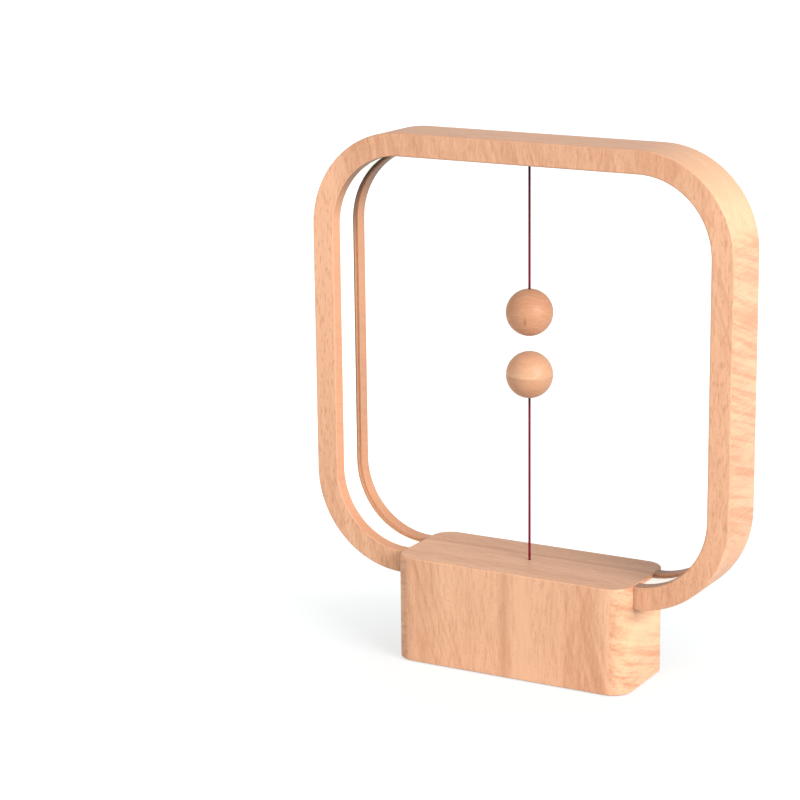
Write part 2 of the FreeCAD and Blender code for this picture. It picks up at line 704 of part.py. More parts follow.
def make_bottom_cover():
    plate = centred_slab(2 * COVER_END, 2 * COVER_SIDE, BASE_BOTTOM, COVER_TOP, COVER_CORNER)
    holes = cover_screws(2 * COVER_HOLE_ROOM)
    for x, y in standoff_places():
        holes.append(cylinder(STANDOFF_SPIGOT + 2 * THREAD_FIT, BASE_BOTTOM, COVER_TOP, x, y))
    return plate.cut(holes)


nodes["base_housing"] = make_base_housing()
nodes["bottom_cover"] = make_bottom_cover()
nodes["cover_screws"] = Part.makeCompound(cover_screws(0))
nodes["rubber_feet"] = Part.makeCompound([
    cylinder(FOOT_DIAMETER, 0, FOOT_THICKNESS, x, y) for x, y in foot_places()
])
nodes["cord_liner"] = tube(LINER_DIAMETER, CORD_HOLE, CEILING, BASE_TOP - LINER_BELOW_TOP)


# --- pull plunger under the cord's hole ---

def make_plunger_guide():
    """A flange under the ceiling, a barrel for the plunger and a web that carries the switch."""
    side = FLANGE_WIDTH / 2
    flange = slab(-FLANGE_LEFT, FLANGE_RIGHT, -side, side, FLANGE_BOTTOM, CEILING, GUIDE_SCREW_INSET / 2)
    barrel = tube(BARREL_DIAMETER, BARREL_BORE, BARREL_BOTTOM, FLANGE_BOTTOM)
    spigot = cylinder(SPIGOT_DIAMETER, HEAD_TOP + CORD_GAP, FLANGE_BOTTOM)
    web_front = SWITCH_WIDTH / 2
    web = box(PLUNGER_HEAD_DIAMETER / 2, FLANGE_RIGHT, web_front, web_front + WEB_THICKNESS,
              SWITCH_TOP - SWITCH_HOLE_PITCH / 2, FLANGE_BOTTOM)
    guide = fused(flange, barrel, spigot, web)
    holes = [cylinder(CORD_HOLE, HEAD_TOP, CEILING)]
    for x, y in guide_screw_places():
        holes.append(cylinder(GUIDE_HOLE, FLANGE_BOTTOM, CEILING, x, y))
    pilot = SMALL_SCREW_DIAMETER + 2 * THREAD_FIT
    for x in switch_hole_places():
        holes.append(along_y(pilot, WEB_THICKNESS, x, web_front, SWITCH_HOLE_LEVEL))
    return guide.cut(holes)


def make_guide_cap():
    """A snap-in ring that closes the barrel and stops the plunger at the end of its travel."""
    rim = tube(BARREL_DIAMETER, STEM_BORE, CAP_BOTTOM, BARREL_BOTTOM)
    inner = tube(BARREL_BORE - SLIP_FIT, STEM_BORE, BARREL_BOTTOM, CAP_TOP)
    return fused(rim, inner)


def make_pull_plunger():
    """A head in the barrel and a stem through the cap, bored for the cord."""
    head = cylinder(PLUNGER_HEAD_DIAMETER, HEAD_BOTTOM, HEAD_TOP)
    stem = cylinder(PLUNGER_STEM_DIAMETER, STRIKER_TOP, HEAD_BOTTOM)
    body = fused(head, stem)
    hub_hole = cylinder(STRIKER_HUB_DIAMETER + SLIP_FIT, STRIKER_TOP, STRIKER_TOP + STRIKER_HUB_LENGTH)
    return body.cut([cylinder(CORD_HOLE, STRIKER_BOTTOM, HEAD_TOP), hub_hole])


def make_striker_disc():
    """A disc pressed into the stem's end, which pushes the lever up."""
    disc = cylinder(STRIKER_DIAMETER, STRIKER_BOTTOM, STRIKER_TOP)
    hub = cylinder(STRIKER_HUB_DIAMETER, STRIKER_TOP, STRIKER_TOP + STRIKER_HUB_LENGTH - SLIP_FIT)
    return fused(disc, hub).cut(cylinder(CORD_HOLE, STRIKER_BOTTOM, HEAD_BOTTOM))


def make_plunger_spring():
    """An open coil between the flange and the plunger's head, made of tilted half turns."""
    mean_radius = (SPRING_DIAMETER - SPRING_WIRE) / 2
    bottom = SPRING_BOTTOM + SPRING_WIRE / 2
    half_turns = 2 * SPRING_TURNS
    rise = (SPRING_TOP - SPRING_BOTTOM - SPRING_WIRE) / half_turns
    halves = []
    for index in range(half_turns):
        side = -1 if index % 2 else 1
        start = V(side * mean_radius, 0, bottom + index * rise)
        end = V(-side * mean_radius, 0, start.z + rise)
        section = Part.Face(Part.Wire([Part.makeCircle(SPRING_WIRE / 2, start, Y_AXIS)]))
        axis = (start - end).cross(Y_AXIS) * side
        halves.append(section.revolve((start + end) / 2, axis, 180))
    return fused(*halves)


def switch_hole_places():
    """The X of the switch's two fixing holes."""
    middle = (SWITCH_LEFT + SWITCH_RIGHT) / 2
    return [middle - SWITCH_HOLE_PITCH / 2, middle + SWITCH_HOLE_PITCH / 2]


nodes["plunger_guide"] = make_plunger_guide()
nodes["guide_screws"] = Part.makeCompound([
    panhead_screw(GUIDE_SCREW_DIAMETER, GUIDE_SCREW_LENGTH, GUIDE_SCREW_HEAD, GUIDE_SCREW_HEAD_HEIGHT,
                  V(x, y, FLANGE_BOTTOM), Z_AXIS)
    for x, y in guide_screw_places()
])
nodes["guide_cap"] = make_guide_cap()
nodes["pull_plunger"] = make_pull_plunger()
nodes["striker_disc"] = make_striker_disc()
nodes["plunger_spring"] = make_plunger_spring()
nodes["plunger_knot"], plunger_knot_centre = knot_under(CORD_HOLE, STRIKER_BOTTOM)
nodes["lower_cord_tail"] = cylinder(CORD_DIAMETER, plunger_knot_centre + KNOT_RADIUS + CORD_GAP, BASE_TOP)


# --- lever switch, with its button at the bottom pressed by the lifted lever ---

def make_micro_switch():
    """The switch body with two ears and the pin that the lever turns on."""
    side = SWITCH_WIDTH / 2
    body = box(SWITCH_LEFT, SWITCH_RIGHT, -side, side, SWITCH_BOTTOM, SWITCH_TOP)
    ear_reach = LEVER_PIN_INSET - RUNNING_GAP
    ear_left = LEVER_PIN_X - ear_reach
    ear_right = LEVER_PIN_X + ear_reach
    ear_low = LEVER_PIN_LEVEL - LEVER_EYE_DIAMETER / 2
    ears = [
        box(ear_left, ear_right, front, front + SWITCH_EAR, ear_low, SWITCH_BOTTOM)
        for front in (-side, side - SWITCH_EAR)
    ]
    pin = along_y(LEVER_PIN_DIAMETER, SWITCH_WIDTH, LEVER_PIN_X, -side, LEVER_PIN_LEVEL)
    body = fused(body, pin, *ears)
    button_room = BUTTON_DIAMETER + 2 * RUNNING_GAP
    button_top = LEVER_TOP + CORD_GAP + BUTTON_LENGTH
    holes = [cylinder(button_room, SWITCH_BOTTOM, button_top + LEVER_CLEARANCE, BUTTON_X)]
    for x in switch_hole_places():
        holes.append(along_y(CLEARANCE_HOLE, SWITCH_WIDTH, x, -side, SWITCH_HOLE_LEVEL))
    return body.cut(holes)


def make_switch_lever():
    """A flat strip with a rolled eye round the pin."""
    half = LEVER_WIDTH / 2
    strip = box(LEVER_TIP_X, LEVER_PIN_X, -half, half, LEVER_BOTTOM, LEVER_TOP)
    eye = along_y(LEVER_EYE_DIAMETER, LEVER_WIDTH, LEVER_PIN_X, -half, LEVER_PIN_LEVEL)
    eye_bore = LEVER_PIN_DIAMETER + 2 * RUNNING_GAP
    hole = along_y(eye_bore, LEVER_WIDTH, LEVER_PIN_X, -half, LEVER_PIN_LEVEL)
    return fused(strip, eye).cut(hole)


def terminal_places():
    """The X of the three terminals on the switch's top."""
    middle = (SWITCH_LEFT + SWITCH_RIGHT) / 2
    return [middle + step * TERMINAL_PITCH for step in (-1, 0, 1)]


def make_terminal(x):
    half_width = TERMINAL_WIDTH / 2
    half_thickness = TERMINAL_THICKNESS / 2
    return box(x - half_width, x + half_width, -half_thickness, half_thickness,
               SWITCH_TOP, SWITCH_TOP + TERMINAL_HEIGHT)


def make_switch_button():
    low = LEVER_TOP + CORD_GAP
    pin = cylinder(BUTTON_DIAMETER, low, low + BUTTON_LENGTH, BUTTON_X)
    return pin.makeFillet(BUTTON_ROUNDING, edges_at(pin, Z_AXIS, low))


nodes["micro_switch"] = make_micro_switch()
nodes["switch_terminals"] = Part.makeCompound([make_terminal(x) for x in terminal_places()])
nodes["switch_lever"] = make_switch_lever()
nodes["switch_button"] = make_switch_button()
nodes["switch_screws"] = Part.makeCompound([
    panhead_screw(SMALL_SCREW_DIAMETER, SWITCH_WIDTH + WEB_THICKNESS, SMALL_SCREW_HEAD,
                  SMALL_SCREW_HEAD_HEIGHT, V(x, -SWITCH_WIDTH / 2, SWITCH_HOLE_LEVEL), Y_AXIS)
    for x in switch_hole_places()
])


# --- driver board, its parts and the power socket ---

def make_driver_board():
    board = box(BOARD_LEFT, BOARD_RIGHT, BOARD_FRONT, BOARD_BACK, BOARD_BOTTOM, BOARD_TOP)
    holes = [cylinder(CLEARANCE_HOLE, BOARD_BOTTOM, BOARD_TOP, x, y) for x, y in standoff_places()]
    return board.cut(holes)


def make_standoff(x, y):
    pillar = fused(
        cylinder(STANDOFF_DIAMETER, COVER_TOP, BOARD_BOTTOM, x, y),
        cylinder(STANDOFF_SPIGOT, BASE_BOTTOM, COVER_TOP, x, y),
    )
    bore = SMALL_SCREW_DIAMETER + 2 * THREAD_FIT
    return pillar.cut(cylinder(bore, BOARD_TOP - BOARD_SCREW_LENGTH, BOARD_BOTTOM, x, y))


def make_power_socket():
    """A flat oval shell, open at the back of the lamp, with a tongue inside."""
    mouth = BASE_BACK - SOCKET_RECESS
    inner_end = mouth - SOCKET_LENGTH
    corner = SOCKET_HEIGHT / 2 - SOCKET_SHELL / 2
    shell = slot_along_y(SOCKET_WIDTH, SOCKET_HEIGHT, inner_end, mouth, BOARD_MIDDLE, SOCKET_LEVEL, corner)
    hollow = slot_along_y(SOCKET_WIDTH - 2 * SOCKET_SHELL, SOCKET_HEIGHT - 2 * SOCKET_SHELL,
                          inner_end + SOCKET_SHELL, mouth, BOARD_MIDDLE, SOCKET_LEVEL, corner - SOCKET_SHELL)
    tongue_low = SOCKET_LEVEL - TONGUE_THICKNESS / 2
    tongue = box(BOARD_MIDDLE - TONGUE_WIDTH / 2, BOARD_MIDDLE + TONGUE_WIDTH / 2,
                 inner_end, mouth - TONGUE_SETBACK, tongue_low, tongue_low + TONGUE_THICKNESS)
    return fused(shell.cut(hollow), tongue)


def make_socket_bezel():
    """A moulded surround, flush with the wood, that the socket's mouth sits in."""
    rim, sleeve = bezel_outline(0)
    mouth_height = SOCKET_HEIGHT + 2 * RUNNING_GAP
    mouth = slot_along_y(SOCKET_WIDTH + 2 * RUNNING_GAP, mouth_height, CAVITY_SIDE, BASE_BACK,
                         BOARD_MIDDLE, SOCKET_LEVEL, mouth_height / 2 - SOCKET_SHELL / 2)
    return fused(rim, sleeve).cut(mouth)


board_front_row = BOARD_FRONT + 2 * BOARD_HOLE_INSET

nodes["driver_board"] = make_driver_board()
nodes["board_standoffs"] = Part.makeCompound([make_standoff(x, y) for x, y in standoff_places()])
nodes["board_screws"] = Part.makeCompound([
    panhead_screw(SMALL_SCREW_DIAMETER, BOARD_SCREW_LENGTH, SMALL_SCREW_HEAD, SMALL_SCREW_HEAD_HEIGHT,
                  V(x, y, BOARD_TOP), -Z_AXIS)
    for x, y in standoff_places()
])
chip_left = BOARD_LEFT + 2 * BOARD_HOLE_INSET
chip_right = chip_left + DRIVER_CHIP_LENGTH
chip_back = board_front_row + DRIVER_CHIP_WIDTH
chip_top = BOARD_TOP + DRIVER_CHIP_HEIGHT
nodes["driver_chip"] = box(chip_left, chip_right, board_front_row, chip_back, BOARD_TOP, chip_top)
nodes["choke_coil"] = cylinder(CHOKE_DIAMETER, BOARD_TOP, BOARD_TOP + CHOKE_HEIGHT,
                               BOARD_MIDDLE + CHOKE_DIAMETER / 2, board_front_row + CHOKE_DIAMETER / 2)
nodes["smoothing_capacitor"] = cylinder(CAPACITOR_DIAMETER, BOARD_TOP, BOARD_TOP + CAPACITOR_HEIGHT,
                                        BOARD_LEFT + 2 * BOARD_HOLE_INSET, 0)
nodes["power_socket"] = make_power_socket()
nodes["socket_bezel"] = make_socket_bezel()


# --- leads inside the base ---

def make_led_leads():
    """Two leads from the tape's right end, through the end wall and down to the board."""
    leads = []
    for y in (-LED_LEAD_SPREAD / 2, LED_LEAD_SPREAD / 2):
        start = V(LED_LEAD_END, y, LED_LEAD_LEVEL)
        corner = V(LED_LEAD_DROP, y, LED_LEAD_LEVEL)
        end = V(LED_LEAD_DROP, y, BOARD_TOP)
        leads.append(bent_lead(start, corner, end, LEAD_DIAMETER, LEAD_BEND_RADIUS))
    return Part.makeCompound(leads)


def make_switch_leads():
    """Two leads from the switch's terminals, down to the board between the switch and the LED leads."""
    on_terminal = -(TERMINAL_THICKNESS + LEAD_DIAMETER) / 2 - SLIP_FIT
    drop_x = (SWITCH_RIGHT + LED_LEAD_DROP) / 2
    leads = []
    for order, x in enumerate((terminal_places()[2], terminal_places()[1])):
        level = SWITCH_TOP + SWITCH_LEAD_HEIGHT_ON_TERMINAL + order * SWITCH_LEAD_STEP
        drop_y = on_terminal - order * SWITCH_LEAD_STEP
        start = V(x, on_terminal, level)
        corner = V(drop_x, drop_y, level)
        end = V(drop_x, drop_y, BOARD_TOP)
        leads.append(bent_lead(start, corner, end, LEAD_DIAMETER, LEAD_BEND_RADIUS))
    return Part.makeCompound(leads)


nodes["led_leads"] = make_led_leads()
nodes["switch_leads"] = make_switch_leads()


# --- what the joints need, and the files ---

lever_length = LEVER_PIN_X - LEVER_TIP_X
lever_angle = math.atan(PULL_TRAVEL / lever_length)
button_travel = (BUTTON_FROM_PIN - BUTTON_DIAMETER / 2) * math.tan(lever_angle)
ball_drop = LOWER_BALL_CENTRE - BALL_RADIUS - BASE_TOP
print("upper cord bends at z", round(UPPER_BEND, 3), "and lower cord at z", round(LOWER_BEND, 3))
print("lever pin at x", round(LEVER_PIN_X, 3), "z", round(LEVER_PIN_LEVEL, 3))
print("lever swings", round(math.degrees(lever_angle), 3), "degrees")
print("button travel", round(button_travel, 3), "and lower ball's way down", round(ball_drop, 3))
print("spring's fixed end at z", round(SPRING_TOP, 3))

os.makedirs("parts", exist_ok=True)
for name, shape in nodes.items():
    solids = shape.Solids
    if not shape.isValid():
        print("not valid:", name)
    if len(solids) == 1:
        shape = solids[0]
    shape.exportStep("parts/" + name + ".step")
    size = shape.BoundBox
    print(name, len(solids), "solids", round(shape.Volume, 1), "mm3, size",
          round(size.XLength, 2), round(size.YLength, 2), round(size.ZLength, 2))
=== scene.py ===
import math
from collections import namedtuple

import bmesh
import bpy
from mathutils import Matrix, Vector


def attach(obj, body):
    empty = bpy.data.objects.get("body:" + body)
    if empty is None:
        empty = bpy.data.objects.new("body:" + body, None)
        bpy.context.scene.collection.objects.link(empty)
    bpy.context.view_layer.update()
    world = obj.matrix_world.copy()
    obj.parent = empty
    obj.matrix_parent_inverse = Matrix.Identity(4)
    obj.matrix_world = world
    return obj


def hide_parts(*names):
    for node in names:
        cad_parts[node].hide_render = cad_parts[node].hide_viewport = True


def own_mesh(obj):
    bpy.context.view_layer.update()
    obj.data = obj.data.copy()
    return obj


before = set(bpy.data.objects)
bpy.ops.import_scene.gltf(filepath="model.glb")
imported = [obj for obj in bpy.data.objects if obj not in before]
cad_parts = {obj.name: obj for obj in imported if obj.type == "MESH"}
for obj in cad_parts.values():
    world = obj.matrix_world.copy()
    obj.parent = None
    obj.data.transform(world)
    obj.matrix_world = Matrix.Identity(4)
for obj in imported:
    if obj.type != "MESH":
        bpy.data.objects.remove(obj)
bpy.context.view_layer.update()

# A table lamp of beech: an upright frame with an opal light strip round its inner face, a base block
# with a pull switch inside, and two balls on red cords that their magnets hold towards each other.
# Metres. X runs along the frame, Y from front to back, Z up.

MM = 0.001
FULL_TURN = 2 * math.pi

# camera
PICTURE_WIDTH = 800
LAMP_COLUMN = 529.5
SENSOR = 36.0
FOCAL_PIXELS = 2467.857
CAMERA_AZIMUTH = 27.171
CAMERA_ELEVATION = 13.819
CAMERA_DISTANCE = 1229.638 * MM
CAMERA_NEAREST = 0.01
CAMERA_FURTHEST = 50
AIM = Vector((0, 0, 138.65 * MM))

# frame and base
FRAME_HALF_WIDTH = 115 * MM
FRAME_HALF_HEIGHT = 113.25 * MM
FRAME_MIDDLE = 156.75 * MM
FRAME_CORNER = 49.8 * MM
FRAME_BAR = 11.7 * MM
GROOVE_WALL = 8.75 * MM
BASE_END = 65 * MM

# cords
CORD_RADIUS = 0.625 * MM
CORD_SIDES = 20
ROUTE_STEPS = 24
UPPER_CORD_ROUTE = [(0, 0, 258.79 * MM), (0, 0, 222.8 * MM), (0, 0, 186.74 * MM)]
LOWER_CORD_ROUTE = [(0, 0, 56.81 * MM), (0, 0, 102.5 * MM), (0, 0, 148.26 * MM)]


def placed(name, data):
    """An object at the origin, in the scene."""
    made = bpy.data.objects.new(name, data)
    bpy.context.scene.collection.objects.link(made)
    return made


def aimed(thing, azimuth, elevation, distance):
    """Stands a camera or a light off from the lamp's middle and turns it there. Degrees."""
    turn, rise = math.radians(azimuth), math.radians(elevation)
    level = math.cos(rise)
    back = Vector((math.sin(turn) * level, -math.cos(turn) * level, math.sin(rise)))
    thing.location = AIM + back * distance
    thing.rotation_euler = back.to_track_quat("Z", "Y").to_euler()


def place_camera():
    data = bpy.data.cameras.new("camera")
    data.sensor_width = SENSOR
    data.lens = FOCAL_PIXELS * SENSOR / PICTURE_WIDTH
    data.shift_x = (PICTURE_WIDTH / 2 - LAMP_COLUMN) / PICTURE_WIDTH
    data.clip_start = CAMERA_NEAREST
    data.clip_end = CAMERA_FURTHEST
    camera = placed("camera", data)
    aimed(camera, CAMERA_AZIMUTH, CAMERA_ELEVATION, CAMERA_DISTANCE)
    bpy.context.scene.camera = camera


bpy.context.scene.view_settings.view_transform = "Standard"
place_camera()


# --- nodes, built by reckoning with their outputs ---

# where nearly all of a noise lies
NOISE_SPAN = (0.3, 0.7)
# a Mix node's inputs are 0 for the share, 2 and 3 for numbers, 6 and 7 for colours; its output 2 is a colour


def fill(tree, socket, value):
    """Sets an input to a value, or links it to a node's output."""
    if isinstance(value, Output):
        value = value.socket
    if isinstance(value, bpy.types.NodeSocket):
        tree.links.new(value, socket)
    else:
        socket.default_value = value


def add(tree, kind, inputs=None, **settings):
    """A new node with its settings made and its inputs filled."""
    made = tree.nodes.new(kind)
    for name, value in settings.items():
        setattr(made, name, value)
    for name, value in (inputs or {}).items():
        fill(tree, made.inputs[name], value)
    return made


class Output:
    """A node's output, kept with its tree so that more nodes can follow from it."""

    def __init__(self, tree, socket):
        self.tree = tree
        self.socket = socket

    def then(self, made, result, kind, inputs, **settings):
        """One result of a new node in the same tree, made a Number, a Place or a Colour."""
        return made(self.tree, add(self.tree, kind, inputs, **settings).outputs[result])


def maths(operation):
    """A method of a Number: one of the Math node's operations, with another number where it takes two."""
    def method(self, other=0.0):
        return self.then(Number, 0, "ShaderNodeMath", {0: self, 1: other}, operation=operation)
    return method


class Number(Output):
    """An output that adds, multiplies and so on as a number does."""

    __add__ = maths("ADD")
    __sub__ = maths("SUBTRACT")
    __mul__ = maths("MULTIPLY")
    __truediv__ = maths("DIVIDE")
    __pow__ = maths("POWER")
    __abs__ = maths("ABSOLUTE")
    at_least = maths("MAXIMUM")
    at_most = maths("MINIMUM")
    sine = maths("SINE")

    def waves(self, pitch):
        """A sine, one wave to a pitch."""
        return (self * (FULL_TURN / pitch)).sine()

    def spread(self, low, high, new_low=0.0, new_high=1.0):
        """Carried from one range to another and held inside it."""
        inputs = {"Value": self, "From Min": low, "From Max": high, "To Min": new_low, "To Max": new_high}
        return self.then(Number, "Result", "ShaderNodeMapRange", inputs)

    def stretched(self, new_low=0.0, new_high=1.0):
        """A noise's span carried to a whole range."""
        return self.spread(*NOISE_SPAN, new_low, new_high)

    def near(self, centre, reach):
        """One at a centre, fading to nothing at its reach."""
        return abs(self - centre).spread(0.0, reach, 1.0, 0.0)

    def inside(self, limit, fade):
        """One below a limit, fading to nothing a little above it."""
        return self.spread(limit, limit + fade, 1.0, 0.0)

    def towards(self, other, share):
        """Mixed towards another number."""
        return self.then(Number, 0, "ShaderNodeMix", {0: share, 2: self, 3: other})

    def between(self, first, second):
        """The colour that lies this far from one colour to another."""
        return self.then(Colour, 2, "ShaderNodeMix", {0: self, 6: first, 7: second}, data_type="RGBA")


Axes = namedtuple("Axes", "x y z")


class Place(Output):
    """An output that holds a place or a direction."""

    def maths(self, made, result, operation, other=(0, 0, 0)):
        return self.then(made, result, "ShaderNodeVectorMath", {0: self, 1: other}, operation=operation)

    def scaled(self, x, y, z):
        return self.maths(Place, "Vector", "MULTIPLY", (x, y, z))

    def seen_from(self, centre):
        return self.maths(Place, "Vector", "SUBTRACT", centre)

    def along(self, direction):
        return self.maths(Number, "Value", "DOT_PRODUCT", direction)

    def length(self):
        return self.maths(Number, "Value", "LENGTH")

    def axes(self):
        outputs = add(self.tree, "ShaderNodeSeparateXYZ", {0: self}).outputs
        return Axes(*(Number(self.tree, outputs[axis]) for axis in "XYZ"))

    def noise(self, scale, detail=2.0, rough=0.5):
        """Cloudy values round a half. Scale is the clouds to a metre, one for all axes or one for each."""
        scales = scale if isinstance(scale, tuple) else (scale, scale, scale)
        inputs = {"Vector": self.scaled(*scales), "Scale": 1.0, "Detail": detail, "Roughness": rough}
        return self.then(Number, "Fac", "ShaderNodeTexNoise", inputs)


class Colour(Output):
    """An output that holds a colour."""

    def towards(self, other, share):
        """Mixed towards another colour."""
        return self.then(Colour, 2, "ShaderNodeMix", {0: share, 6: self, 7: other}, data_type="RGBA")

    def layered(self, *layers):
        """With other colours laid over it in turn, each given with its share."""
        result = self
        for colour, share in layers:
            result = result.towards(colour, share)
        return result

    def tinted(self, tint):
        inputs = {0: 1.0, 6: self, 7: (*tint, 1.0)}
        return self.then(Colour, 2, "ShaderNodeMix", inputs, data_type="RGBA", blend_type="MULTIPLY")


def point(x, y, z):
    """A place from its axes, the first of them an output."""
    return x.then(Place, 0, "ShaderNodeCombineXYZ", {0: x, 1: y, 2: z})


def srgb(red, green, blue):
    """A colour given as it looks on a screen, 0 to 255, as the shader takes it."""
    channels = []
    for value in (red, green, blue):
        value = value / 255
        channels.append(value / 12.92 if value <= 0.04045 else ((value + 0.055) / 1.055) ** 2.4)
    return (*channels, 1.0)


def darkened(colour, share):
    return tuple(channel * (1 - share) for channel in colour[:3]) + (1.0,)


def emptied_tree(owner):
    """The node tree of a new material or world, without the nodes that it comes with."""
    owner.use_nodes = True
    owner.node_tree.nodes.clear()
    return owner.node_tree


class Finish:
    """A material in the making. A value that is the same all over sits on the shader's own socket."""

    def __init__(self, name, roughness, metallic=0.0, specular=0.5):
        self.material = bpy.data.materials.new(name)
        self.tree = emptied_tree(self.material)
        constants = {"Roughness": roughness, "Metallic": metallic, "Specular IOR Level": specular}
        self.shader = add(self.tree, "ShaderNodeBsdfPrincipled", constants)
        add(self.tree, "ShaderNodeOutputMaterial", {"Surface": self.shader.outputs["BSDF"]})
        coordinates = add(self.tree, "ShaderNodeTexCoord").outputs
        self.place = Place(self.tree, coordinates["Object"])
        self.facing = Place(self.tree, coordinates["Normal"])

    def own_map(self):
        """The piece's own UV map."""
        return Place(self.tree, add(self.tree, "ShaderNodeUVMap", uv_map="UVMap").outputs["UV"])

    def done(self, colour, height, depth, strength, roughness=None):
        """The material with its colour, its relief, whose depth is in millimetres, and its uneven gloss."""
        relief = {"Height": height, "Distance": depth * MM, "Strength": strength}
        bump = add(self.tree, "ShaderNodeBump", relief)
        fill(self.tree, self.shader.inputs["Base Color"], colour)
        fill(self.tree, self.shader.inputs["Normal"], bump.outputs["Normal"])
        if roughness is not None:
            fill(self.tree, self.shader.inputs["Roughness"], roughness)
        return self.material


# --- the cords ---

BRAID_STARTS = 4
BRAID_TURN = 5200.0  # radians to a metre
CORD_DEEP = srgb(100, 12, 34)
CORD_BRIGHT = srgb(170, 34, 62)
CORD_MOTTLE = srgb(118, 8, 32)
CORD_SHADED = srgb(48, 14, 22)


def red_cord():
    """A fine braided cord: strands cross in both directions over its length."""
    finish = Finish("red_braided_cord", 0.7, specular=0.15)
    around, along, _ = finish.own_map().axes()
    there, back = ((around * (BRAID_STARTS * FULL_TURN) + along * turn).sine().spread(-1.0, 1.0)
                   for turn in (BRAID_TURN, -BRAID_TURN))
    braid = there * back
    mottle = finish.place.noise((900, 900, 260)).spread(0.35, 0.7, 0.0, 0.35)
    # painted shade: the cord is darker as it nears the frame's top bar, and beside both balls
    height = finish.place.axes().z
    shade_beside_balls = height.near(195 * MM, 4 * MM).at_least(height.near(139 * MM, 6 * MM))
    colour = braid.spread(0.0, 0.7).between(CORD_DEEP, CORD_BRIGHT).layered(
        (CORD_MOTTLE, mottle),
        (CORD_SHADED, height.spread(205 * MM, 255 * MM, 0.0, 0.88)),
        (CORD_SHADED, shade_beside_balls * 0.8))
    return finish.done(colour, braid, 0.05, 0.8)


def plain_mesh(carrier):
    """What a curve or a modifier makes, as a mesh; the object that carries it goes."""
    bpy.context.view_layer.update()
    evaluated = carrier.evaluated_get(bpy.context.evaluated_depsgraph_get())
    mesh = bpy.data.meshes.new_from_object(evaluated)
    carrier.modifiers.clear()
    bpy.data.objects.remove(carrier)
    return mesh


def route_line(name, points):
    """The points along a smooth curve that has the route's points as its control points."""
    curve = bpy.data.curves.new(name + "_route", "CURVE")
    curve.dimensions = "3D"
    curve.resolution_u = ROUTE_STEPS
    spline = curve.splines.new("NURBS")
    spline.points.add(len(points) - 1)
    for place, control in zip(points, spline.points):
        control.co = (*place, 1)
    spline.order_u = 3
    spline.use_endpoint_u = True
    line = plain_mesh(placed(name + "_route", curve))
    found = [vertex.co.copy() for vertex in line.vertices]
    bpy.data.meshes.remove(line)
    return found


def circle(sides):
    """The cosine and sine of each step round a circle."""
    angles = [FULL_TURN * step / sides for step in range(sides)]
    return [(math.cos(angle), math.sin(angle)) for angle in angles]


def cord_tube(name, points, material):
    """A closed round tube along a route, the route's line and its length.

    Its UV map runs once round the cord, and along it in metres.
    """
    line = route_line(name, points)
    vertices = []
    lengths = [0.0]
    for index, place in enumerate(line):
        before = line[max(index - 1, 0)]
        after = line[min(index + 1, len(line) - 1)]
        direction = (after - before).normalized()
        side = direction.cross(Vector((0, 1, 0))).normalized()
        other = direction.cross(side)
        if index:
            lengths.append(lengths[-1] + (place - before).length)
        vertices += [place + (side * x + other * y) * CORD_RADIUS for x, y in circle(CORD_SIDES)]
    last = len(line) - 1
    steps = range(CORD_SIDES)
    # each face as its corners, each corner as its step round the cord and its ring along it
    faces = [((step, ring), (step + 1, ring), (step + 1, ring + 1), (step, ring + 1))
             for ring in range(last) for step in steps]
    faces += [[(step, 0) for step in reversed(steps)], [(step, last) for step in steps]]
    mesh = bpy.data.meshes.new(name)
    mesh.from_pydata([tuple(place) for place in vertices], [],
                     [[ring * CORD_SIDES + step % CORD_SIDES for step, ring in face] for face in faces])
    layer = mesh.uv_layers.new(name="UVMap")
    for made, face in zip(mesh.polygons, faces):
        made.use_smooth = len(face) == 4
        for loop, (step, ring) in zip(made.loop_indices, face):
            layer.data[loop].uv = (step / CORD_SIDES, lengths[ring])
    mesh.materials.append(material)
    return placed(name, mesh), line, lengths[-1]


def make_upper_cord(material):
    piece, line, length = cord_tube("upper_cord_braid", UPPER_CORD_ROUTE, material)
    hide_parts("upper_cord")
    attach(piece, "upper_pendulum")


def make_lower_cord(material):
    piece, line, length = cord_tube("lower_cord_braid", LOWER_CORD_ROUTE, material)
    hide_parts("lower_cord")
    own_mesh(piece)
    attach(piece, "lower_cord_lean")


RED_CORD = red_cord()
make_upper_cord(RED_CORD)
make_lower_cord(RED_CORD)


# --- the room: floor, white background and lights ---

FLOOR_REACH = 4.0
SHADOW_FROM = 70 * MM
SHADOW_TO = 300 * MM
SHADOW_WHITE = 0.69
OPEN_WHITE = 1.05
GLOW = (0.965, 1, 1, 1)
SHADE = (0.38, 0.38, 0.38, 1)
BOUNCE = (0.6, 0.6, 0.6, 1)
ROOM_LEVEL = 0.36


def seen(tree, otherwise=0.0):
    """One to the camera, also in gloss and through glass; less for the light that falls on things."""
    path = add(tree, "ShaderNodeLightPath").outputs
    rays = Number(tree, path["Is Camera Ray"]) + path["Is Glossy Ray"] + path["Is Transmission Ray"]
    return rays.spread(0.0, 1.0, otherwise, 1.0)


